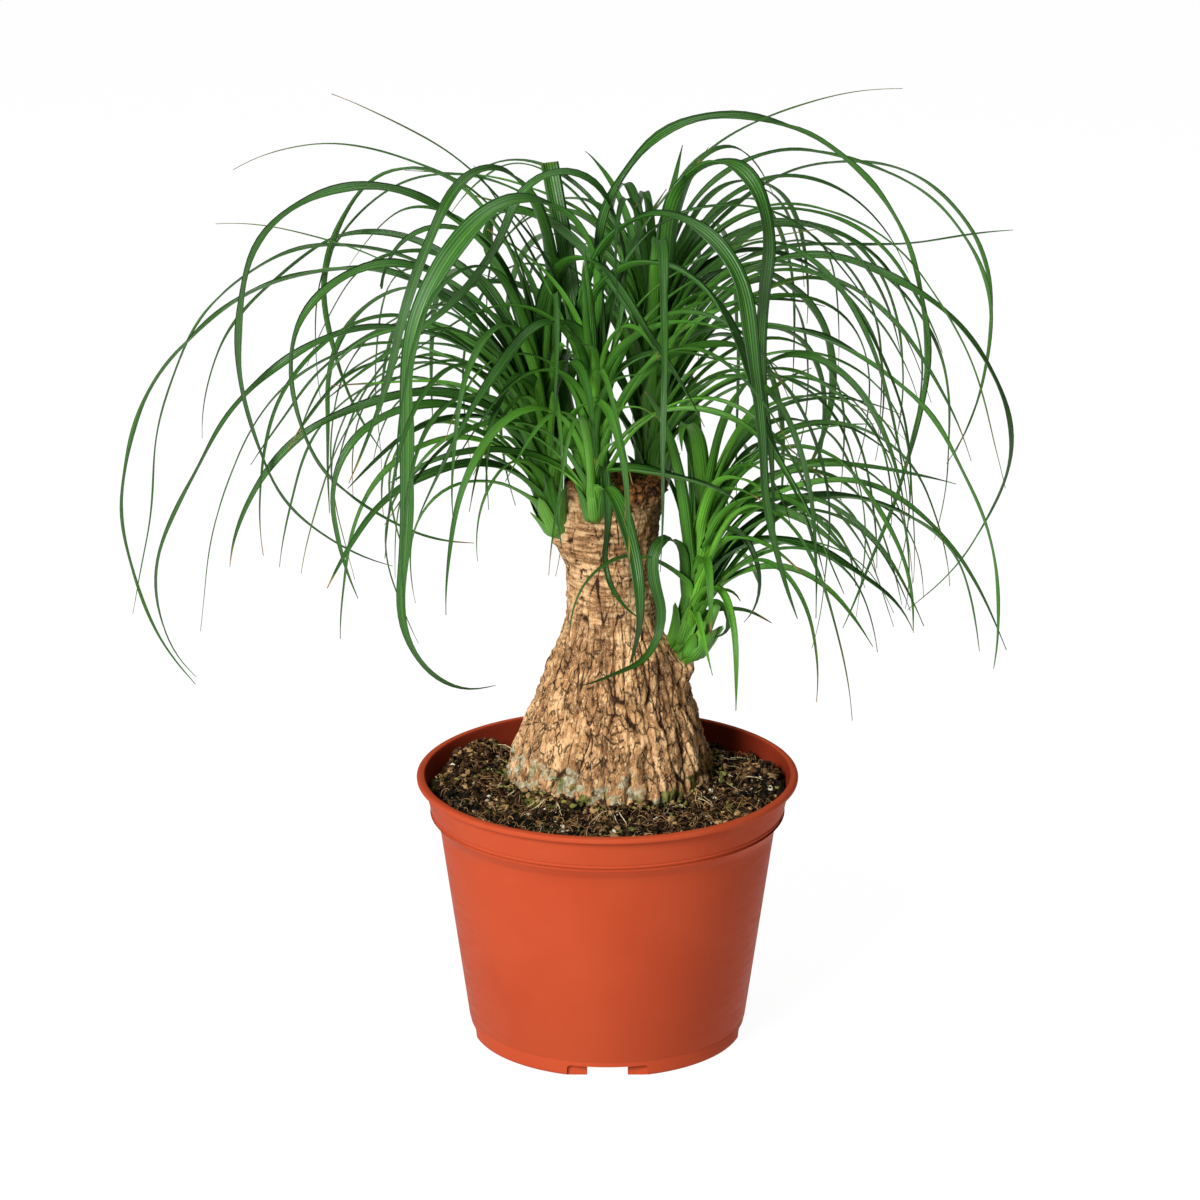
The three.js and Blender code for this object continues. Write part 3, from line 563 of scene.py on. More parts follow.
def near_stem(shoot, points):
    """Which points lie in or just off a shoot's stem."""
    stations = stations_of(shoot)
    near = np.zeros(len(points), bool)
    for (share, distance), start, end in zip(by_segment(stations, points), stations[:-1, 3], stations[1:, 3]):
        near |= distance < start + (end - start) * share + ROOM["off_stem"]
    return near


def crossing(own, others):
    """Which of the spans own and others come too close, as a table of true and false."""
    a, b = own[:, None], others[None, :]
    d1 = a[..., 1, :3] - a[..., 0, :3]
    d2 = b[..., 1, :3] - b[..., 0, :3]
    r = a[..., 0, :3] - b[..., 0, :3]
    aa, ee, ff, cc, bb = (np.sum(product, -1) for product in (d1 * d1, d2 * d2, d2 * r, d1 * r, d1 * d2))
    spread = aa * ee - bb * bb
    s = np.where(spread > 1e-9, np.clip((bb * ff - cc * ee) / np.maximum(spread, 1e-9), 0, 1), 0)
    free = (bb * s + ff) / ee
    t = np.clip(free, 0, 1)
    s = np.where(t != free, np.clip((bb * t - cc) / aa, 0, 1), s)
    apart = r + d1 * s[..., None] - d2 * t[..., None]
    distance = np.linalg.norm(apart, axis=-1)
    direction = apart / np.maximum(distance, 1e-9)[..., None]
    return distance < reach(a, s, direction) + reach(b, t, direction) + GAP


def reach(span, share, direction):
    """How far a strap reaches from its middle line in a direction."""
    def blended(parts):
        return parts[0] * (1 - share) + parts[1] * share

    def towards(first):
        return blended([np.sum(span[..., end, first:first + 3] * direction, -1) for end in (0, 1)])

    half = blended([span[..., 0, 9], span[..., 1, 9]])
    return half * np.abs(towards(3)) + BLADE["thickness"] * np.abs(towards(6))


def near_trunk(points, clear):
    x, y, z = points.T
    from_trunk = np.hypot(x - TRUNK_AXIS[0], y - TRUNK_AXIS[1])
    return (z < ROOM["trunk_top"]) & (from_trunk < np.interp(z, *np.array(TRUNK_RADIUS[1:]).T) + clear)


def has_room(leaf, points):
    """Whether a leaf keeps off the trunk and the pot, and within the crown."""
    if near_trunk(points[:-1] * 0.75 + points[1:] * 0.25, ROOM["root_off_trunk"]).any():
        return False
    points = np.vstack([points[1:], (points[1:] + points[:-1]) / 2])
    x, y, z = points.T
    blocked = near_trunk(points, ROOM["off_trunk"])
    blocked |= (z < ROOM["over_pot"]) & (np.hypot(x, y) < ROOM["pot_radius"])
    blocked |= z < ROOM["chosen_floor"]
    if leaf["in_fan"]:
        height, front, middle, half = ROOM["view"]
        blocked |= (z < height) & (y < front) & (np.abs(x - middle) < half)
        blocked |= z < ROOM["fan_floor"][leaf["shoot"]]
        cx, cy, cz, rx, ry, rz = ROOM["crown"]
        blocked |= ((x - cx) / rx) ** 2 + ((y - cy) / ry) ** 2 + (np.maximum(0, z - cz) / rz) ** 2 > 1
    return not blocked.any()


def lay_leaves():
    """Lays every leaf as the solids' rule does, and returns them by shoot."""
    draw = Draw(SEED)
    laid = {shoot: [] for shoot in SHOOTS}
    spans = {shoot: stem_spans(shoot) for shoot in SHOOTS}
    outer = {shoot: np.zeros((0, 2, 10)) for shoot in SHOOTS}

    def place(draw_leaf, enough):
        best = None
        for k in range(ROOM["tries"]):
            if best and (best[0] == 0 or k >= enough):
                break
            leaf = draw_leaf(k)
            shoot = leaf["shoot"]
            sections = leaf_sections(leaf)
            own = spans_of(*sections)
            others = np.concatenate([spans[name] for name in SHOOTS if name != shoot])
            if not has_room(leaf, sections[0]) or crossing(own, others).any():
                continue
            free = own[~near_stem(shoot, own[:, 0, :3])]
            crossings = int(crossing(free, outer[shoot]).sum())
            if best is None or crossings < best[0]:
                best = (crossings, leaf, own, free)
        if best is None or (best[1]["in_fan"] and best[0] > ROOM["fan_crossings"]):
            return
        _, leaf, own, free = best
        shoot = leaf["shoot"]
        laid[shoot].append(leaf)
        spans[shoot] = np.concatenate([spans[shoot], own])
        outer[shoot] = np.concatenate([outer[shoot], free])

    for shoot, stem_place, bearing, length, width, slopes, *cut in CHOSEN:
        kept = {
            "shoot": shoot, "place": stem_place, "width": width, "swing": 0, "roll": draw(-10, 10),
            "twist": draw(-40, 40), "cut": bool(cut), "in_fan": False, "age": CHOSEN_AGE,
        }

        def chosen(k):
            turn = k * 0.4
            aside = draw(-turn, turn) * 1.5
            lift = draw(-turn, turn)
            return {
                **kept, "bearing": bearing + aside, "slopes": [slope + lift for slope in slopes],
                "length": length * (1 + draw(-turn, turn) * 0.003),
            }

        place(chosen, ROOM["chosen_tries"])
    fans = [(*row, NARROWEST, FAN_AGE) for row in FANS]
    fans += [(*row, NARROWEST_HEART, HEART_AGE) for row in HEARTS]
    for shoot, count, middle_bearing, spread, lengths, first_slopes, bends, narrowest, age in fans:
        for i in range(count):
            rank = (i + 0.5) / count
            turn = (i * GOLDEN_TURN) % 1
            kept = {
                "shoot": shoot, "place": 0.08 + 0.9 * rank, "roll": draw(-10, 10), "twist": draw(-50, 50),
                "cut": False, "in_fan": True, "age": age,
            }

            def fanned(k):
                bearing = middle_bearing + spread * (2 * turn - 1) + draw(-1, 1) * (6 + 1.2 * k)
                length = draw(*lengths)
                first = first_slopes[0] + (first_slopes[1] - first_slopes[0]) * rank + draw(-5, 5)
                bend = draw(*bends)
                ramp = 1 / (1 + np.exp((draw(0.35, 0.65) - FAN_STATIONS) / 0.16))
                return {
                    **kept, "bearing": bearing, "length": length, "swing": draw(-30, 30),
                    "width": narrowest + draw(0, 1) * 4.5 * (0.5 + 0.5 * rank),
                    "slopes": list(first - bend * ((ramp - ramp[0]) / (ramp[-1] - ramp[0]))),
                }

            place(fanned, ROOM["tries"])
    return laid


# Leaf meshes

def nearest_on_stem(stem, points):
    """How far along the stem's line each point lies, how far from it, and the stem's radius there."""
    best = np.full(len(points), np.inf)
    place = np.zeros(len(points))
    travelled = along_line(stem)
    for (share, distance), start, end in zip(by_segment(stem, points), travelled[:-1], travelled[1:]):
        nearer = distance < best
        best = np.where(nearer, distance, best)
        place = np.where(nearer, start + share * (end - start), place)
    return place, best, np.interp(place, travelled, stem[:, 3])


def stem_at(stem, place):
    """Middle, direction and radius of the stem at distances along it."""
    travelled = along_line(stem)
    stations = resampled(place, travelled, stem)
    ways = resampled(place, travelled, np.gradient(stem[:, :3], travelled, axis=0))
    return stations[:, :3], unit(ways), stations[:, 3]


def sheathed_path(leaf, stem, rank):
    """The middle line of a leaf that clasps the stem before it parts from it.

    Returns points, directions across, clasp radii, distances from the root, and the one at which it parts.
    """
    path = leaf_path(leaf)
    across, _ = leaf_frame(leaf, np.arange(PATH_STEPS + 1) / PATH_STEPS)
    place, away, radius = nearest_on_stem(stem, path)
    stations = along_line(stem)
    leave = max(int(np.argmax((away > radius) | (place >= stations[-1] - 0.01))), 1)
    root_place = max(0.0, min(stations[BULB_STATION], place[leave] - 14))
    sheath_count = max(6, int((place[leave] - root_place) / SHEATH_STEP))
    travel = np.linspace(0, 1, sheath_count, endpoint=False)
    middle, way, stem_radius = stem_at(stem, root_place + (place[leave] - root_place) * travel)
    out = path[leave] - stem_at(stem, place[leave:leave + 1])[0][0]
    bearing = math.radians(leaf["bearing"])
    radial = square_to(out + np.array([math.cos(bearing), math.sin(bearing), 0.0]) * 0.25, way)
    layer = 1.02 - 0.72 * rank
    exit_share = np.linalg.norm(out) / max(stem_radius[-1], 1e-6)
    hold = stem_radius * (layer + (min(exit_share, 1.05) - layer) * travel**3)
    points = np.vstack([middle + radial * hold[:, None], path[leave:]])
    sideways = np.vstack([np.cross(-radial, way), across[leave:]])
    for _ in range(6):
        points[1:-1] = (points[:-2] + 2 * points[1:-1] + points[2:]) / 4
        sideways[1:-1] = unit(sideways[:-2] + 2 * sideways[1:-1] + sideways[2:])
    travelled = along_line(points)
    clasp = np.concatenate([hold, np.full(len(points) - sheath_count, stem_radius[-1])])
    return points, sideways, clasp, travelled, travelled[sheath_count]


def ringed(values):
    """Values for each point of a strap from one for each of its rings. Its end points take the end rings'."""
    return np.append(np.repeat(values, STRAP_SIDES), [values[0], values[-1]])


def strap_mesh(line, half, curl, groove, thick):
    """A thin closed strap along a line of points with directions along, across and out of the upper side.

    half is its half width, curl the half angle of its arc across, groove how far its edges rise.
    Returns points, faces, and fields that say how far across each point is and whether it is underneath.
    """
    points, along, across, normal = line
    values = np.concatenate([TOP_ACROSS, UNDER_ACROSS])
    under = np.concatenate([np.zeros(len(TOP_ACROSS)), np.ones(len(UNDER_ACROSS))])
    angle = curl[:, None] * values
    lateral = np.sin(angle) * (half / curl)[:, None]
    lift = (1 - np.cos(angle)) * (half / curl)[:, None] + groove[:, None] * np.abs(values)
    lift = lift - under * thick[:, None] * (1 - 0.75 * values**2)
    rings = points[:, None] + across[:, None] * lateral[..., None] + normal[:, None] * lift[..., None]
    each = {"across": values, "under": under}
    fields = {key: np.append(np.tile(ring, len(rings)), [0, 0]) for key, ring in each.items()}
    return *skin(rings, rings[0].mean(0), rings[-1].mean(0) + along[-1] * 0.3), fields


def scale_mesh(stem, number, random):
    """Points, faces and fields of one short pointed scale that hugs the foot of a stem."""
    share = np.linspace(0, 1, 15)
    start = along_line(stem)[BULB_STATION] + random.uniform(*SCALE_STARTS)
    place = start + random.uniform(*SCALE_LENGTHS) * share
    middle, way, radius = stem_at(stem, place)
    bearing = TURN * GOLDEN_TURN * number + random.uniform(-0.3, 0.3)
    outward = square_to(np.array([math.cos(bearing), math.sin(bearing), 0.0]), way)
    tight = radius * (0.6 + 0.45 * step(0, 0.25, share) + 0.1 * share)
    off = tight + 0.3 + random.uniform(1.0, 4.5) * share**3
    points = middle + outward * off[:, None]
    along = unit(np.gradient(points, place, axis=0))
    across = unit(np.cross(-outward, along))
    half = radius * random.uniform(0.95, 1.25) * np.sqrt(np.clip(1 - share**1.6, 0, 1)) * (1 - 0.3 * share)
    half = half * (0.25 + 0.75 * step(0, 0.3, share)) + 0.2
    thick = np.minimum(0.9 - 0.5 * share, half * 0.8)
    line = (points, along, across, np.cross(along, across))
    verts, faces, fields = strap_mesh(line, half, np.clip(half / radius, 0.2, 1.4), 0 * share, thick)
    dry = ringed(random.uniform(0.0, 0.35) * share**4)
    fields |= {"from_root": ringed(4 + 22 * share), "shade": random.uniform(), "dry": dry}
    return verts, faces, fields


def leaf_mesh(leaf, stem, rank, random):
    """Points, faces and fields of one leaf as a thin closed strap."""
    line, sideways, clasp, travelled, parts_at = sheathed_path(leaf, stem, rank)
    length = travelled[-1]
    count = int(np.clip(round(length / LEAF_STEP), 18, 88))
    at = np.linspace(0, 1, count + 1) ** 0.92 * length
    points = resampled(at, travelled, line)
    clasp = np.interp(at, travelled, clasp)
    along = unit(np.gradient(points, at, axis=0))
    across = square_to(resampled(at, travelled, sideways), along)
    normal = np.cross(along, across)

    # Gentle waves of a real blade: a wobble of the roll, the width and the height
    phase = random.uniform(0, TURN, 4)
    free = step(parts_at, parts_at + 60, at)
    roll = np.radians(8 * np.sin(at / 19 + phase[0]) + 6 * np.sin(at / 7.3 + phase[1])) * free
    across, normal = rolled(across, normal, roll)
    points = points + normal * (0.45 * np.sin(at / 11 + phase[2]) * free)[:, None]

    outer = np.clip((at - parts_at) / max(length - parts_at, 1), 0, 1)
    strap = strap_share(leaf, outer) * leaf["width"] / 2
    if leaf["width"] >= NARROW_LEAF and not leaf["in_fan"] and not leaf["cut"]:
        strap = WIDER * leaf["width"] / 2 * np.minimum(1, 1.3 * (1 - outer) ** 0.64)
    strap = strap * (1 + 0.05 * np.sin(at / 23 + phase[3]))
    clasped = 1 - step(parts_at - 6, parts_at + SHEATH_REACH, at)
    half = strap + (np.clip(clasp * 0.95, strap, WIDEST_CLASP) - strap) * clasped
    half = np.maximum(half, 0.22)
    opening = 0.34 + 0.5 * np.exp(-np.maximum(at - parts_at, 0) / 45)
    curl = np.minimum(half / np.maximum(clasp, 1), 1.25) * clasped + opening * (1 - clasped)
    groove = 0.16 * (1 - clasped) * half
    thick = np.minimum(0.42 + 0.75 * np.exp(-at / 26) - 0.16 * outer, half * 0.8)

    verts, faces, fields = strap_mesh((points, along, across, normal), half, curl, groove, thick)
    if leaf["cut"]:
        dry = 0.3 * step(length - 5, length - 1, at)
    else:
        reach_dry = random.uniform(4, 30) * (random.uniform() < 0.4)
        dry = step(length - reach_dry, length, at) if reach_dry > 0 else 0 * at
        if leaf["width"] < NARROW_LEAF:
            dry = np.maximum(dry, 0.4 * step(length * 0.6, length, at))
    from_root = ringed(at) * leaf["age"]
    return verts, faces, {**fields, "from_root": from_root, "shade": random.uniform(), "dry": ringed(dry)}


def stem_of(leaf):
    """Which of its shoot's stems carries a leaf."""
    low = leaf["place"] < SIDE_PLACE and math.cos(math.radians(leaf["bearing"])) > 0.6
    return min(int(low), len(STEMS[leaf["shoot"]]) - 1)


def make_shoot(shoot, leaves, look):
    """One shoot: every leaf with its clasping root, and the scales and the core of each stem."""
    random = np.random.default_rng(sum(shoot.encode()))
    heap = Heap(["across", "from_root", "shade", "dry", "under"])
    for number, stations in enumerate(STEMS[shoot]):
        stem = np.array(stations, float)
        carried = [leaf for leaf in leaves if stem_of(leaf) == number]
        order = np.argsort(np.argsort([leaf["place"] for leaf in carried]))
        for leaf, rank in zip(carried, order / max(len(carried) - 1, 1)):
            heap.add(*leaf_mesh(leaf, stem, rank, random))
        for scale in range(SCALES):
            heap.add(*scale_mesh(stem, scale, random))
        travelled = along_line(stem)
        place = np.linspace(0, travelled[-1] * STEM_SHARE, 26)
        middle, _, radius = stem_at(stem, place)
        radius = radius * np.interp(place, travelled[:3], [1.05, 0.95, 0.62])
        core = {"across": 0.0, "from_root": 10.0, "shade": 0.5, "dry": 0.1, "under": 0.0}
        heap.add(*tube(middle, radius, 24), core)
    return dress(heap.build("leaves_" + shoot), look, "leaf", "shoot_" + shoot)


# Trunk

def turn_between(a, b):
    return (a - b + 540) % 360 - 180


def facing(turn, bearing):
    """From -1 to 1, how far a side of the trunk faces a bearing."""
    return np.cos(np.radians(turn_between(np.degrees(turn), bearing)))


def swelling(turn, z, bearing, height, rise, tall, wide):
    across = turn_between(np.degrees(turn), bearing) / wide
    return rise * np.exp(-(across**2) - ((z - height) / tall) ** 2)


def trunk_radius(turn, z):
    radius = np.interp(z, *np.array(TRUNK_RADIUS).T)
    for boss in BOSSES:
        radius = radius + swelling(turn, z, *boss)
    return radius


def side_cells(turn, z, around, tall, seed):
    """Gaps between cells on the trunk's unrolled side, so many around it, and the value of each cell."""
    first, second, value = cells(np.stack([turn / TURN * around, z / tall], axis=1), seed, around)
    return second - first, value


def stem_callus(points):
    """A ring of raised bark round the foot of each stem, from 0 to 1."""
    callus = np.zeros(len(points))
    for stem in (stem for stems in STEMS.values() for stem in stems):
        _, away, neck = nearest_on_stem(np.array(stem[:4], float), points)
        callus = np.maximum(callus, np.exp(-(((away - neck - 1.0) / 2.2) ** 2)))
    return callus


def bark_side(turn, z):
    """The bark at bearings and heights: its points, and the fields of its look."""
    out = np.stack([np.cos(turn), np.sin(turn), np.zeros_like(turn)], axis=1)
    base = round_points(turn, trunk_radius(turn, z), z, TRUNK_AXIS)
    low = 1 - step(198, 226, z)
    high = 1 - low
    crown = step(268, 283, z) * (0.3 + 0.7 * step(-0.6, 0.5, facing(turn, CRUMBLY_SIDE)))
    warp = np.stack([layered(base, (13, 13, 20), seed, 3) for seed in (3, 4, 5)], axis=1)

    def plates(around, tall, seed, crack, patches, scale, patch_seed):
        """A layer of cells round the trunk: gaps, a value for each cell, and cracks that open in patches."""
        gap, value = side_cells(turn + 0.06 * warp[:, 0], z + 3.0 * warp[:, 2], around, tall, seed)
        return gap, value, (1 - step(0.02, crack, gap)) * step(*patches, layered(base, scale, patch_seed))

    gap, plate, cleft = plates(42, 44, 11, 0.12, (-0.5, 0.15), (9, 9, 22), 41)
    ridge = step(0.0, 0.45, gap)
    _, chip, seam = plates(92, 5.6, 12, 0.2, (-0.3, 0.35), (7, 7, 10), 42)
    _, flake, broken = plates(46, 2.9, 13, 0.16, (-0.1, 0.45), 8, 55)
    _, strip, split = plates(24, 22, 15, 0.12, (-0.3, 0.4), (7, 7, 12), 43)
    _, scab, nick = plates(44, 4.6, 17, 0.2, (-0.25, 0.3), (6, 6, 8), 56)
    gap, _ = side_cells(turn + 0.03 * warp[:, 1], z + 1.5 * warp[:, 2], 11, 1.9, 14)
    wrinkle = 1 - step(0.02, 0.35, gap)
    first, second, block = cells((base + warp * [2.4, 2.4, 4.0]) / 4.6, 16)
    crumb = 1 - step(0.02, 0.3, second - first)
    callus = stem_callus(base)

    rough = 1.5 * ridge + 0.5 * plate - 0.7 * cleft - 0.7 * seam + 1.0 * chip - 0.5 * broken
    relief = low * (rough + 0.7 * flake - 2.2)
    relief -= 1.2 * low * step(0.2, 0.6, layered(base, (6, 6, 55), 48, 2))
    fine = 0.6 * strip + 0.7 * scab - 0.55 * wrinkle - 0.9 * split - 0.5 * nick - 0.3
    relief += high * fine * (1 - 0.6 * crown)
    relief += crown * (1.9 * block - 1.6 * crumb)
    relief += 1.2 * layered(base, 15, 44) + 0.8 * layered(base, (5, 5, 9), 45)
    relief += 0.3 * noise(base, (1.5, 1.5, 2.8), 46)
    relief += swelling(turn, z, *TOP_LOBE)
    relief += 2.0 * callus * (0.7 + 0.6 * noise(base, 2.6, 54))
    relief *= step(122, FOOT_TOP, z) * 0.8 + 0.2

    crack = low * (0.85 * cleft + 0.55 * seam + 0.5 * broken) + crown * 0.6 * crumb
    crack += high * (0.4 * wrinkle + 0.85 * split + 0.5 * nick)
    # Painted highlight: the raised chips, plates, scabs and stem calluses lower the tone so that they come
    # out paler, over the tone's own random change.
    tone = layered(base, (9, 9, 16), 53) - low * (0.8 * chip + 0.4 * plate - 0.6)
    tone = tone - high * (0.5 * scab + 0.1) - 0.5 * callus
    # Painted shade: a dark olive tint on the upper trunk's right side, away from the key lamp, carried by the
    # green field.
    shaded = step(0.1, 0.9, facing(turn, -20)) * step(205, 235, z)
    edge = z + 12 * layered(base, (11, 11, 9), 50)
    left = 0.25 + 0.75 * step(-0.2, 0.8, facing(turn, 222))
    front = 0.15 + 0.85 * step(0.0, 0.8, facing(turn, 285))
    return base + out * relief[:, None], {
        "crack": np.clip(crack * (1 - 0.7 * callus), 0, 1),
        "tone": tone,
        "crown": np.maximum(crown, 0.15 * callus),
        "green": shaded * (1 - 0.6 * crown) * step(-0.7, 0.2, layered(base, 16, 49)),
        "lichen": (1 - step(133, 154, edge)) * step(-0.02, 0.25, layered(base, (4, 4, 3), 51)) * left,
        "moss": (1 - step(128, 149, edge)) * step(-0.05, 0.3, layered(base, (4, 4, 3), 52)) * front,
    }


def old_cut(angle, lip):
    """The ragged rim and the shallow hollow within the points of the lip, and the fields of their look."""
    stations, radii, heights = np.array(CUT_OUTLINE).T
    turn, share = (grid.ravel() for grid in np.meshgrid(angle, np.linspace(0, 1, CUT_ROWS + 1)[1:]))
    radius, height = (np.interp(share, stations, values) for values in (radii, heights))
    points = round_points(turn, radius, height, TRUNK_AXIS)
    first, second, block = cells(points / 4.2, 16)
    solid = step(0.02, 0.3, second - first)
    ragged = 1.3 * block - 1.2 * (1 - solid) + 0.8 * layered(points, 6, 47)
    shift = lip - round_points(angle, TOP_RADIUS, TRUNK_TOP, TRUNK_AXIS)
    points = points + np.tile(shift, (CUT_ROWS, 1)) * np.clip(1 - share / 0.2, 0, 1)[:, None]
    points[:, 2] += ragged * np.interp(share, [0, 0.1, 1], [0.2, 1, 1])
    none = np.zeros(len(points))
    crack = 0.7 * np.clip(1.2 - solid - 0.3 * block, 0, 1)
    tone = layered(points, 6, 52)
    fields = {"crack": crack, "tone": tone, "crown": none + 1, "green": none, "lichen": none, "moss": none}
    return points, fields


def make_trunk(look):
    """The swollen trunk with cracked bark, and the old cut at its top."""
    angle = np.linspace(0, TURN, TRUNK_COLUMNS, endpoint=False)
    heights = np.arange(TRUNK_BOTTOM, TRUNK_TOP + 0.1, TRUNK_ROW)
    turn, z = (grid.ravel() for grid in np.meshgrid(angle, heights))
    side, side_fields = bark_side(turn, z)
    top, top_fields = old_cut(angle, side[-TRUNK_COLUMNS:])
    points = np.vstack([side, top])
    fields = {key: np.append(values, top_fields[key]) for key, values in side_fields.items()}
    faces = drum_faces(len(points) // TRUNK_COLUMNS, TRUNK_COLUMNS)
    return dress(mesh_object("trunk_bark", points, faces, True, fields), look, "bark", "trunk")


# Soil

def wall_radius(z):
    radii, heights = np.array(WALL_OUTLINE).T
    return np.interp(z, heights, radii)


def heaped(z, x, y, spots):
    """A height or strength with a round rise added at each spot."""
    for spot_x, spot_y, rise, size in spots:
        z = z + rise * np.exp(-((x - spot_x) ** 2 + (y - spot_y) ** 2) / size**2)
    return z


def flat_points(x, y):
    return np.stack([x, y, np.zeros_like(x)], axis=1)


def from_trunk(x, y):
    return np.hypot(x - TRUNK_AXIS[0], y - TRUNK_AXIS[1])


def crumbled_height(x, y):
    """The height of the crumbly top of the soil."""
    z = SOIL_LEVEL + 1.1 * np.sin(x / 6.5 + np.cos(y / 8)) + 0.9 * np.cos(y / 5.2 + x / 13)
    z = np.clip(heaped(z, x, y, HEAPS), SOIL_LOWEST, FOOT_TOP - 1)
    z = np.maximum(heaped(z, x, y, PILES), SOIL_LOWEST)
    flat = flat_points(x, y)
    first, _, lump = cells((flat + 1.5 * noise(flat, 4, 60)[:, None]) / 3.6, 61)
    z = z + (1.7 * lump + 0.4) * (1 - np.clip(first, 0, 1) ** 2) - 0.8
    first, _, lump = cells(flat / 1.5, 62)
    z = z + 0.7 * lump * (1 - np.clip(first, 0, 1))
    away = from_trunk(x, y)
    banked = 2.2 + 2.6 * layered(flat, 12, 67, 2)
    z = z + banked * np.exp(-(((away - 53) / 4.5) ** 2)) - 9 * step(49, 43, away)
    return z + 0.35 * noise(flat, 0.9, 63)


def damp(x, y):
    """How damp and dark the soil is at a place, from 0 to 1."""
    patchy = 0.9 + 0.6 * layered(flat_points(x, y), 7, 68, 2)
    return np.clip(heaped(0.0, x, y, DAMP_SPOTS) * patchy, 0, 1)


def make_soil(look):
    """The bed of soil, from the pot's floor to its crumbly top."""
    clear = WALL + 0.15
    angle = np.linspace(0, TURN, SOIL_SIDES, endpoint=False)
    wall_heights = (SOIL_BOTTOM, 40.0, 80.0, SHOULDER[1], 112.0, 116.0)
    rows = [round_points(angle, wall_radius(z) - clear, z) for z in wall_heights]
    edge = wall_radius(SOIL_LEVEL) - clear
    for share in np.linspace(1, 0.01, SOIL_RINGS):
        x, y = edge * share * np.cos(angle), edge * share * np.sin(angle)
        z = crumbled_height(x, y) - 1.2 * step(0.97, 1, share)
        inside = np.minimum(1, (wall_radius(z - 1) - clear) / (edge * share))
        rows.append(np.stack([x * inside, y * inside, z], axis=1))
    points = np.vstack(rows)
    flat = points * [1, 1, 0]
    moss = step(0.1, 0.4, layered(flat, 15, 64)) * step(-0.1, 0.4, layered(flat, 3.5, 65))
    fields = {"tone": layered(points, 2.6, 66), "moss": moss, "damp": damp(points[:, 0], points[:, 1])}
    bed = mesh_object("soil_bed", points, drum_faces(len(rows), SOIL_SIDES), True, fields)
    return dress(bed, look, "soil", "soil")


def ball(detail):
    """Points and faces of a rounded ball with an icosahedron's corners, split detail times."""
    mesh = bmesh.new()
    bmesh.ops.create_icosphere(mesh, subdivisions=detail, radius=1.0)
    points = np.array([vertex.co[:] for vertex in mesh.verts])
    faces = np.array([[vertex.index for vertex in face.verts] for face in mesh.faces])
    mesh.free()
    return points, faces


def on_soil(random, count, near=None, spread=0.0):
    """Places on the open soil between the trunk and the wall, most of them close to one of the spots."""
    x, y = random.uniform(-SOIL_REACH, SOIL_REACH, (2, 6 * count))
    if near is not None:
        spots = np.array(near)[random.integers(len(near), size=len(x))]
        close = random.uniform(size=len(x)) < NEAR_SHARE
        x = np.where(close, random.normal(spots[:, 0], spread), x)
        y = np.where(close, random.normal(spots[:, 1], spread), y)
    out = np.minimum(SOIL_REACH, wall_radius(crumbled_height(x, y)) - WALL - 2.6)
    free = (np.hypot(x, y) < out) & (from_trunk(x, y) > BARE_RADIUS)
    return x[free][:count], y[free][:count]


def make_lumps(name, look, count, sizes, seed, near=None, spread=0.0, rough=0.4, piled=0.0):
    """Many small rough lumps that lie on the soil, half sunk in it."""
    random = np.random.default_rng(seed)
    heap = Heap(["tone", "damp"])
    balls = [ball(1), ball(2)]
    places_x, places_y = on_soil(random, count, near, spread)
    heights = crumbled_height(places_x, places_y) + piled * random.uniform(size=len(places_x))
    for x, y, z, wet in zip(places_x, places_y, heights, damp(places_x, places_y)):
        size = sizes[0] + (sizes[1] - sizes[0]) * random.uniform() ** 2
        points, faces = balls[int(size > 0.9)]
        shape = points * random.uniform(0.45, 1.3, 3) * [1, 1, 0.75]
        shape = shape * (1 + rough * noise(points * 3 + random.uniform(0, 90, 3), 1.8, seed)[:, None])
        shape = shape @ spin(random.uniform(0, TURN)).T * size + [x, y, z + size * 0.25]
        heap.add(shape, [faces], {"tone": random.uniform(-1, 1), "damp": wet})
    return dress(heap.build(name), look, "soil")


def make_fibres(name, look, count, seed, lengths, thicks, near=None):
    """Fine roots and peat fibres that lie on the soil."""
    random = np.random.default_rng(seed)
    heap = Heap(["tone"])
    x, y = on_soil(random, count, near, 1.5)
    steps = 9
    length = random.uniform(*lengths, (len(x), 1))
    way = random.uniform(0, TURN, (len(x), 1)) + np.cumsum(random.normal(0, 0.32, (len(x), steps)), axis=1)
    line_x = x[:, None] + np.cumsum(np.cos(way), axis=1) * length / steps
    line_y = y[:, None] + np.cumsum(np.sin(way), axis=1) * length / steps
    free = (np.hypot(line_x, line_y) < SOIL_REACH) & (from_trunk(line_x, line_y) > BARE_RADIUS - 1)
    ground = crumbled_height(line_x.ravel(), line_y.ravel()).reshape(line_x.shape)
    arch = np.sin(np.linspace(0, math.pi, steps))
    for index in np.flatnonzero(free.all(axis=1)):
        line_z = np.convolve(np.pad(ground[index], 1, mode="edge"), [0.3, 0.4, 0.3], mode="valid")
        line_z = line_z + 0.4 + random.uniform(0, 2.4) * arch
        thick = random.uniform(*thicks)
        line = np.stack([line_x[index], line_y[index], line_z], axis=1)
        heap.add(*tube(line, np.linspace(thick, thick * 0.5, steps), 5), {"tone": random.uniform(-1, 1)})
    return dress(heap.build(name), look, "soil")


# Pot

def rounded(outline):
    """An outline of (radius, height, corner radius) with each corner that has a radius drawn as an arc."""
    drawn = []
    for index, (radius, height, corner) in enumerate(outline):
        here = np.array([radius, height])
        if not corner:
            drawn.append(here)
            continue
        before, after = (unit(np.array(outline[index + way][:2]) - here) for way in (-1, 1))
        for share in np.linspace(0, 1, 5):
            drawn.append(here + corner * (before * (1 - share) ** 2 + after * share**2))
    return np.array(drawn)


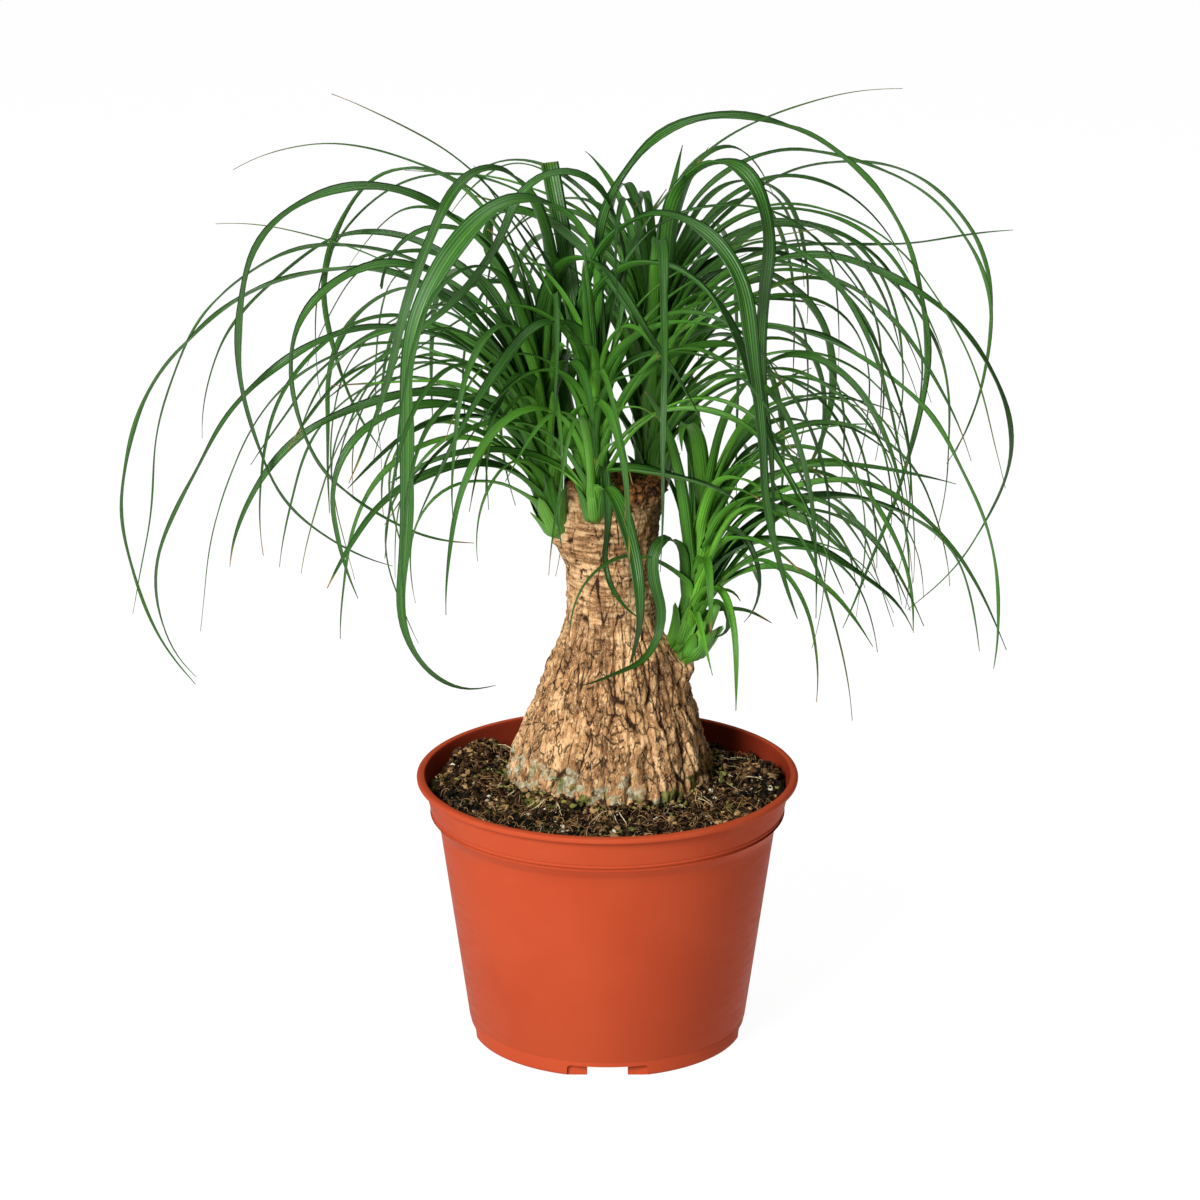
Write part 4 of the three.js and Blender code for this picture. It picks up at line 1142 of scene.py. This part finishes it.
def lathe(name, outline, sides=POT_SIDES):
    """A closed body of revolution. The outline starts on the axis at the bottom and ends on it at the top."""
    angle = np.linspace(0, TURN, sides, endpoint=False)
    rings = np.array([round_points(angle, radius, z) for radius, z in outline[1:-1]])
    return mesh_object(name, *skin(rings, [0, 0, outline[0][1]], [0, 0, outline[-1][1]]))


def slot_block(name, start, end, half, top, corner, quarter):
    """A block across the wall with rounded upper corners, from radius start to end, turned by quarters."""
    arc = np.linspace(0, math.pi / 2, 6)
    right = [(half - corner + corner * math.cos(a), top - corner + corner * math.sin(a)) for a in arc]
    left = [(-y, z) for y, z in reversed(right)]
    profile = [(half, -3.0), *right, *left, (-half, -3.0)]
    points = np.array([(x, y, z) for x in (start, end) for y, z in profile])
    points = points @ spin(quarter * math.pi / 2).T
    return mesh_object(name, points, drum_faces(2, len(profile)), smooth=False)


def combine(body, tool, operation):
    """Cuts or joins a tool with a body, writes the result to the body, and removes the tool."""
    change = body.modifiers.new("change", "BOOLEAN")
    change.operation = operation
    change.solver = "EXACT"
    change.object = tool
    bpy.context.view_layer.update()
    result = bpy.data.meshes.new_from_object(body.evaluated_get(bpy.context.evaluated_depsgraph_get()))
    body.modifiers.clear()
    body.data = result
    bpy.data.objects.remove(tool)


def pot_outline():
    """The outline of the pot's wall and floor, outside from the middle of its foot and back inside."""
    grooves = []
    for height, deep, half in GROOVES:
        radius = np.interp(height, [COLLAR_LOW[1], COLLAR_HIGH[1]], [COLLAR_LOW[0], COLLAR_HIGH[0]])
        grooves += [(radius, height - half, 0.2), (radius - deep, height - 0.15, 0.1),
                    (radius - deep, height + 0.15, 0.1), (radius, height + half, 0.2)]
    step_low = float(np.interp(8.6, [FLOOR, SHOULDER[1]], [FOOT_RADIUS, SHOULDER[0]]))
    lip_under = POT_HEIGHT - LIP_HEIGHT
    return rounded([
        (0, 0, 0), (FOOT_RADIUS - 0.2, 0, 2.0), (step_low - 0.45, 8.3, 0), (step_low + 0.05, 8.9, 0),
        (*SHOULDER, 1.6), (84.6, 111.5, 1.4), (87.6, 115.6, 1.2),
        *grooves,
        (COLLAR_HIGH[0] - 0.1, lip_under - 0.2, 0.6), (RIM_RADIUS - 0.25, lip_under + 0.15, 0.5),
        (RIM_RADIUS, POT_HEIGHT - 0.75, 0.9), (RIM_RADIUS - 1.6, POT_HEIGHT, 1.0),
        (RIM_RADIUS - LIP_WIDTH, POT_HEIGHT - 0.15, 0.9),
        *[(radius - WALL, z, 0) for radius, z in reversed(WALL_OUTLINE)],
        (0, FLOOR, 0),
    ])


def make_pot(look):
    """The grow pot: a tapered wall, a shoulder, a grooved collar, a lip and four drain channels."""
    body = lathe("pot_shell", pot_outline())
    clip = lathe("clip", [
        (0, 0.2), (FOOT_RADIUS - WALL, 0.2), (SHOULDER[0] - WALL / 2, SHOULDER[1]), (0, SHOULDER[1]),
    ])
    end = FOOT_RADIUS + DRAIN_PAST
    top = DRAIN["height"]
    blocks = [(DRAIN["inner"], DRAIN["channel"] / 2, 1.2), (DRAIN["reach"], DRAIN["mouth"] / 2, 1.8)]
    for quarter in range(4):
        for start, half, corner in blocks:
            cover = (start - DRAIN_ROOF, end, half + DRAIN_ROOF, top + DRAIN_ROOF, corner, quarter)
            trimmed = clip.copy()
            trimmed.data = clip.data.copy()
            bpy.context.scene.collection.objects.link(trimmed)
            combine(trimmed, slot_block("cover", *cover), "INTERSECT")
            combine(body, trimmed, "UNION")
    for quarter in range(4):
        for start, half, corner in blocks:
            combine(body, slot_block("cutter", start, end, half, top, corner, quarter), "DIFFERENCE")
        turn = quarter * math.pi / 2
        middle = [DRAIN["hole_at"] * way * MM for way in (math.cos(turn), math.sin(turn), 0)]
        drill = lathe("drill", [(0, -1.0), (DRAIN["hole"], -1.0), (DRAIN["hole"], 12.0), (0, 12.0)], 32)
        drill.data.transform(Matrix.Translation(middle))
        combine(body, drill, "DIFFERENCE")
    bpy.data.objects.remove(clip)
    body.data.polygons.foreach_set("use_smooth", np.full(len(body.data.polygons), True))
    body.data.set_sharp_from_angle(angle=math.radians(32))
    return dress(body, look, "pot_plastic", "pot")


# Materials. Colours are display values up to 255.

def linear(colour):
    """The linear colour, with full alpha, of display values. A socket stays as it is."""
    if isinstance(colour, bpy.types.NodeSocket):
        return colour
    values = np.array(colour) / 255
    values = np.where(values <= 0.04045, values / 12.92, ((values + 0.055) / 1.055) ** 2.4)
    return (*values.tolist(), 1.0)


class Look:
    """A node material built round one shader, whose colour is painted over step by step."""

    def __init__(self, name, roughness, specular):
        self.material = bpy.data.materials.new(name)
        self.material.use_nodes = True
        self.tree = self.material.node_tree
        self.shader = self.tree.nodes["Principled BSDF"]
        self.shader.inputs["Roughness"].default_value = roughness
        self.shader.inputs["Specular IOR Level"].default_value = specular
        self.place = self.node("TexCoord", "Object")
        self.relief = None

    def node(self, kind, output, inputs=None, **settings):
        """Adds a node with its settings and inputs, and returns one of its outputs."""
        node = self.tree.nodes.new("ShaderNode" + kind)
        for key, value in settings.items():
            setattr(node, key, value)
        for key, value in (inputs or {}).items():
            self.put(node.inputs[key], value)
        return node.outputs[output]

    def put(self, socket, value):
        if isinstance(value, bpy.types.NodeSocket):
            self.tree.links.new(value, socket)
        else:
            socket.default_value = value

    def stretched(self, stretch):
        if not stretch:
            return self.place
        return self.node("Mapping", "Vector", {"Vector": self.place, "Scale": stretch})

    def noise(self, scale, detail, stretch=None):
        inputs = {"Vector": self.stretched(stretch), "Scale": scale, "Detail": detail}
        return self.node("TexNoise", "Fac", inputs)

    def cells(self, scale, feature, stretch):
        inputs = {"Vector": self.stretched(stretch), "Scale": scale}
        return self.node("TexVoronoi", "Distance", inputs, feature=feature)

    def field(self, key):
        return self.node("Attribute", "Fac", attribute_name=key)

    def height(self):
        return self.node("SeparateXYZ", "Z", {"Vector": self.place})

    def band(self, value, low, high, to=1.0, start=0.0):
        """A smooth change from 'start' at low to 'to' at high."""
        inputs = {"Value": value, "From Min": low, "From Max": high, "To Min": start, "To Max": to}
        return self.node("MapRange", "Result", inputs, interpolation_type="SMOOTHSTEP")

    def speckle(self, scale, detail, low, high, to=1.0):
        """A smooth change from 0 at low to 'to' at high of a noise."""
        return self.band(self.noise(scale, detail), low, high, to)

    def maths(self, operation, first, second=0.0):
        return self.node("Math", "Value", {0: first, 1: second}, operation=operation)

    def times(self, first, second):
        return self.maths("MULTIPLY", first, second)

    def mix(self, factor, first, second):
        return self.node("Mix", 2, {0: factor, 6: linear(first), 7: linear(second)}, data_type="RGBA")

    def paint(self, factor, colour):
        """Covers the colour so far with another one by a factor."""
        self.colour = self.mix(factor, self.colour, colour)

    def bump(self, height, distance, strength):
        inputs = {"Height": height, "Distance": distance * MM, "Strength": strength}
        if self.relief:
            inputs["Normal"] = self.relief
        self.relief = self.node("Bump", "Normal", inputs)

    def done(self, roughness=None):
        self.put(self.shader.inputs["Base Color"], linear(self.colour))
        if roughness:
            self.put(self.shader.inputs["Roughness"], roughness)
        if self.relief:
            self.put(self.shader.inputs["Normal"], self.relief)
        return self.material


def leaf_look():
    look = Look("leaf_surface", 0.42, 0.4)
    from_root, shade, across, dry = (look.field(key) for key in ("from_root", "shade", "across", "dry"))
    green = look.mix(shade, (22, 60, 14), (42, 90, 24))
    green = look.mix(look.speckle(45, 3, 0.35, 0.75, 0.6), green, (33, 80, 24))
    # The underside is painted a paler green: partly its own paler colour and partly painted light shining
    # through the blade.
    green = look.mix(look.band(look.field("under"), 0.2, 0.8, 0.65), green, (64, 122, 34))
    young = look.mix(shade, (42, 98, 22), (108, 182, 52))
    blade = look.mix(look.band(from_root, 50, 190), young, green)
    pale = look.mix(shade, (50, 106, 26), (104, 166, 52))
    pale = look.mix(look.speckle(140, 3, 0.35, 0.7, 0.4), pale, (70, 126, 30))
    look.colour = look.mix(look.band(from_root, 8, 55), pale, blade)
    lines = look.maths("SINE", look.times(across, 22.0))
    look.paint(look.band(lines, 0.2, 1.0, 0.32), (92, 140, 50))
    middle = look.maths("ABSOLUTE", across)
    look.paint(look.band(middle, 0.2, 0.0, 0.3), (88, 140, 44))
    # Painted highlight: a pale line along both edges of each leaf near its root, where the clasping layers
    # overlap.
    look.paint(look.times(look.band(middle, 0.86, 0.98, 0.55), look.band(from_root, 90, 40)), (138, 172, 74))
    worn = look.mix(look.speckle(160, 4, 0.35, 0.65), (172, 140, 80), (110, 80, 42))
    look.paint(look.band(dry, 0.1, 0.6), look.mix(look.band(dry, 0.35, 0.8), (116, 128, 36), worn))
    look.paint(look.speckle(800, 2, 0.72, 0.8, 0.45), (120, 126, 66))
    look.bump(lines, 0.12, 0.8)
    look.bump(look.noise(700, 3), 0.05, 0.4)
    return look.done(look.maths("ADD", look.speckle(120, 3, 0.3, 0.7, 0.14), 0.36))


def bark_look():
    look = Look("bark_surface", 0.88, 0.2)
    tone = look.field("tone")
    look.colour = look.mix(look.speckle(170, 5, 0.3, 0.72), (192, 146, 97), (148, 105, 66))
    # High tone paints the bark darker and low tone paler; on the trunk's side low tone marks the raised
    # parts, so this is partly painted highlight.
    look.paint(look.band(tone, -0.2, 0.7, 0.75), (108, 71, 41))
    look.paint(look.band(tone, -0.2, -0.75, 0.7), (232, 190, 140))

    # Streaks and chinks run up the lower trunk, and level wrinkles round the upper one
    lower = look.band(look.height(), 0.195, 0.235, 0.25, 1.0)
    upper = look.band(look.height(), 0.19, 0.235)
    streaks = look.noise(620, 4, (1.0, 1.0, 0.3))
    look.paint(look.times(look.band(streaks, 0.54, 0.68, 0.6), lower), (238, 200, 150))
    dark_streaks = look.noise(840, 3, (1.0, 1.0, 0.35))
    look.paint(look.times(look.band(dark_streaks, 0.55, 0.68, 0.65), lower), (74, 50, 30))
    chinks = look.band(look.cells(300, "DISTANCE_TO_EDGE", (1.0, 1.0, 0.42)), 0.09, 0.03)
    chinks = look.times(look.times(chinks, look.speckle(190, 3, 0.44, 0.58, 0.85)), lower)
    level = look.noise(560, 3, (0.16, 0.16, 1.0))
    look.paint(look.times(look.band(level, 0.48, 0.38, 0.5), upper), (236, 200, 154))
    wrinkles = look.times(look.band(level, 0.53, 0.63, 0.75), upper)
    look.paint(wrinkles, (112, 76, 47))
    look.paint(look.speckle(1500, 2, 0.6, 0.68, 0.5), (250, 222, 178))
    look.paint(chinks, (44, 27, 15))

    reddish = look.mix(look.speckle(260, 4, 0.35, 0.65), (182, 116, 62), (94, 56, 26))
    look.paint(look.band(look.field("crown"), 0.1, 0.9), reddish)
    # Painted shade: the green field darkens the upper right side of the trunk with an olive tint.
    look.paint(look.band(look.field("green"), 0.1, 1.0, 0.75), (96, 68, 30))
    dark = look.mix(look.noise(300, 3), (30, 18, 10), (66, 42, 24))
    look.paint(look.band(look.field("crack"), 0.15, 0.8), dark)
    crust = look.mix(look.speckle(420, 4, 0.35, 0.65), (188, 184, 158), (130, 126, 92))
    look.paint(look.band(look.field("lichen"), 0.15, 0.6, 0.8), crust)
    growth = look.mix(look.speckle(480, 4, 0.35, 0.65), (112, 122, 48), (62, 72, 30))
    look.paint(look.band(look.field("moss"), 0.15, 0.6, 0.85), growth)
    look.bump(look.maths("SUBTRACT", look.noise(650, 5), look.maths("ADD", chinks, wrinkles)), 0.6, 0.9)
    look.bump(look.cells(480, "F1", (1.0, 1.0, 0.35)), 0.45, 0.6)
    return look.done()


def soil_look(name, dark, light, moss=True):
    look = Look(name, 0.95, 0.12)
    look.colour = look.mix(look.speckle(340, 5, 0.4, 0.62), dark, light)
    look.paint(look.band(look.field("tone"), 0.5, 0.95, 0.9), (172, 138, 92))
    if moss:
        growth = look.mix(look.noise(600, 3), (62, 68, 24), (118, 118, 52))
        look.paint(look.band(look.field("moss"), 0.15, 0.8, 0.75), growth)
    look.paint(look.band(look.field("damp"), 0.1, 0.9, 0.8), (10, 11, 6))
    look.bump(look.noise(900, 5), 0.6, 0.8)
    return look.done()


def plain_look(name, dark, light, scale, roughness):
    look = Look(name, roughness, 0.3)
    look.colour = look.mix(look.band(look.field("tone"), -1.0, 1.0), dark, light)
    look.paint(look.speckle(scale, 4, 0.4, 0.7, 0.6), light)
    look.bump(look.noise(scale * 2, 4), 0.3, 0.7)
    return look.done()


def pot_look():
    """Smooth plastic with faint specks, dust under the lip and scratches, and painted shade inside."""
    look = Look("pot_surface", 0.5, 0.03)
    look.colour = look.mix(look.speckle(18, 3, 0.35, 0.7), (171, 69, 40), (165, 64, 36))
    look.paint(look.speckle(900, 2, 0.7, 0.78, 0.3), (196, 92, 56))
    dust = look.times(look.band(look.height(), 0.112, 0.134), look.speckle(70, 5, 0.5, 0.72))
    look.paint(look.times(dust, 0.12), (176, 104, 72))
    # Painted shade: the inside of the wall, where surfaces face in towards the axis, is painted a deep dark
    # red.
    flat = look.node("VectorMath", "Vector", {0: look.place, 1: (1, 1, 0)}, operation="MULTIPLY")
    sides = {0: look.node("TexCoord", "Normal"), 1: flat}
    facing_out = look.node("VectorMath", "Value", sides, operation="DOT_PRODUCT")
    look.paint(look.band(facing_out, -0.01, -0.06, 0.75), (92, 26, 15))
    scratches = look.noise(60, 6, (1.0, 1.0, 9.0))
    look.bump(look.noise(1700, 3), 0.02, 0.5)
    look.bump(scratches, 0.02, 0.25)
    return look.done(look.maths("ADD", look.band(scratches, 0.35, 0.7, 0.12), 0.46))


# Floor, light and camera

def make_studio():
    corners = np.array([(-1, -1, 0), (1, -1, 0), (1, 1, 0), (-1, 1, 0)])
    floor = mesh_object("floor", corners * FLOOR_HALF, [np.array([[0, 1, 2, 3]])])
    look = Look("floor_surface", 0.9, 0.05)
    look.colour = FLOOR_GREY
    look.shader.inputs["Emission Color"].default_value = (1, 1, 1, 1)
    look.shader.inputs["Emission Strength"].default_value = FLOOR_GLOW
    floor.data.materials.append(look.done())
    scene = bpy.context.scene
    world = bpy.data.worlds.new("studio")
    world.use_nodes = True
    world.node_tree.nodes["Background"].inputs["Color"].default_value = (1, 1, 1, 1)
    world.node_tree.nodes["Background"].inputs["Strength"].default_value = WORLD_LIGHT
    scene.world = world
    for name, place, size, power in LAMPS:
        lamp = bpy.data.lights.new(name, "AREA")
        lamp.size = size
        lamp.energy = power
        obj = bpy.data.objects.new(name, lamp)
        obj.location = place
        obj.rotation_euler = (Vector(LAMPS_AIM) - Vector(place)).to_track_quat("-Z", "Y").to_euler()
        scene.collection.objects.link(obj)
    scene.view_settings.view_transform = "Standard"


def make_camera():
    lens = bpy.data.cameras.new("camera")
    lens.sensor_width = SENSOR
    lens.lens = FOCAL_PIXELS * SENSOR / IMAGE_SIDE
    lens.clip_end = 60
    camera = bpy.data.objects.new("camera", lens)
    camera.location = [value * MM for value in CAMERA_AT]
    camera.rotation_euler = (math.pi / 2 - CAMERA_DOWN, 0, 0)
    bpy.context.scene.collection.objects.link(camera)
    bpy.context.scene.camera = camera


def make_soil_pieces():
    """The bed, and the crumbs, heaps, grains, moss, fibres and fine roots that lie on it."""
    pile_spots = [(x, y) for x, y, rise, _ in PILES if rise > 0]
    trunk_spots = round_points(np.linspace(0, TURN, 40, endpoint=False), BANK_RADIUS, 0, TRUNK_AXIS)[:, :2]
    # The bed under the crumbs is near black: the soil's own dark colour deepened as painted shade in the gaps
    # between the crumbs.
    make_soil(soil_look("soil_surface", (7, 5, 2), (42, 29, 17)))
    crumbs = soil_look("crumb_surface", (8, 5, 3), (80, 54, 32), moss=False)
    make_lumps("soil_crumbs", crumbs, 2500, (0.3, 1.9), 101, rough=0.8, piled=0.8)
    make_lumps("soil_heaps", crumbs, 700, (0.5, 2.1), 102, pile_spots, 7.0, 0.8, 2.0)
    make_lumps("soil_bank", crumbs, 650, (0.4, 1.7), 106, trunk_spots, 2.2, 0.8, 2.5)
    grains = plain_look("grain_surface", (150, 140, 108), (222, 216, 196), 900, 0.85)
    make_lumps("soil_grains", grains, 220, (0.3, 1.6), 103)
    moss = plain_look("moss_surface", (58, 64, 22), (128, 126, 58), 800, 0.9)
    make_lumps("soil_moss", moss, 520, (0.4, 1.5), 104, trunk_spots, 2.4, 0.6, 2.0)
    fibres = plain_look("fibre_surface", (26, 17, 9), (152, 114, 70), 700, 0.8)
    make_fibres("soil_fibres", fibres, 1200, 105, (3, 11), (0.12, 0.36))
    roots = plain_look("root_surface", (140, 116, 80), (214, 198, 156), 700, 0.75)
    make_fibres("soil_roots", roots, 130, 107, (6, 22), (0.16, 0.42), trunk_spots)


make_camera()
make_studio()
make_pot(pot_look())
make_soil_pieces()
make_trunk(bark_look())
leaf_surface = leaf_look()
for shoot_name, shoot_leaves in lay_leaves().items():
    make_shoot(shoot_name, shoot_leaves, leaf_surface)

bpy.context.view_layer.update()
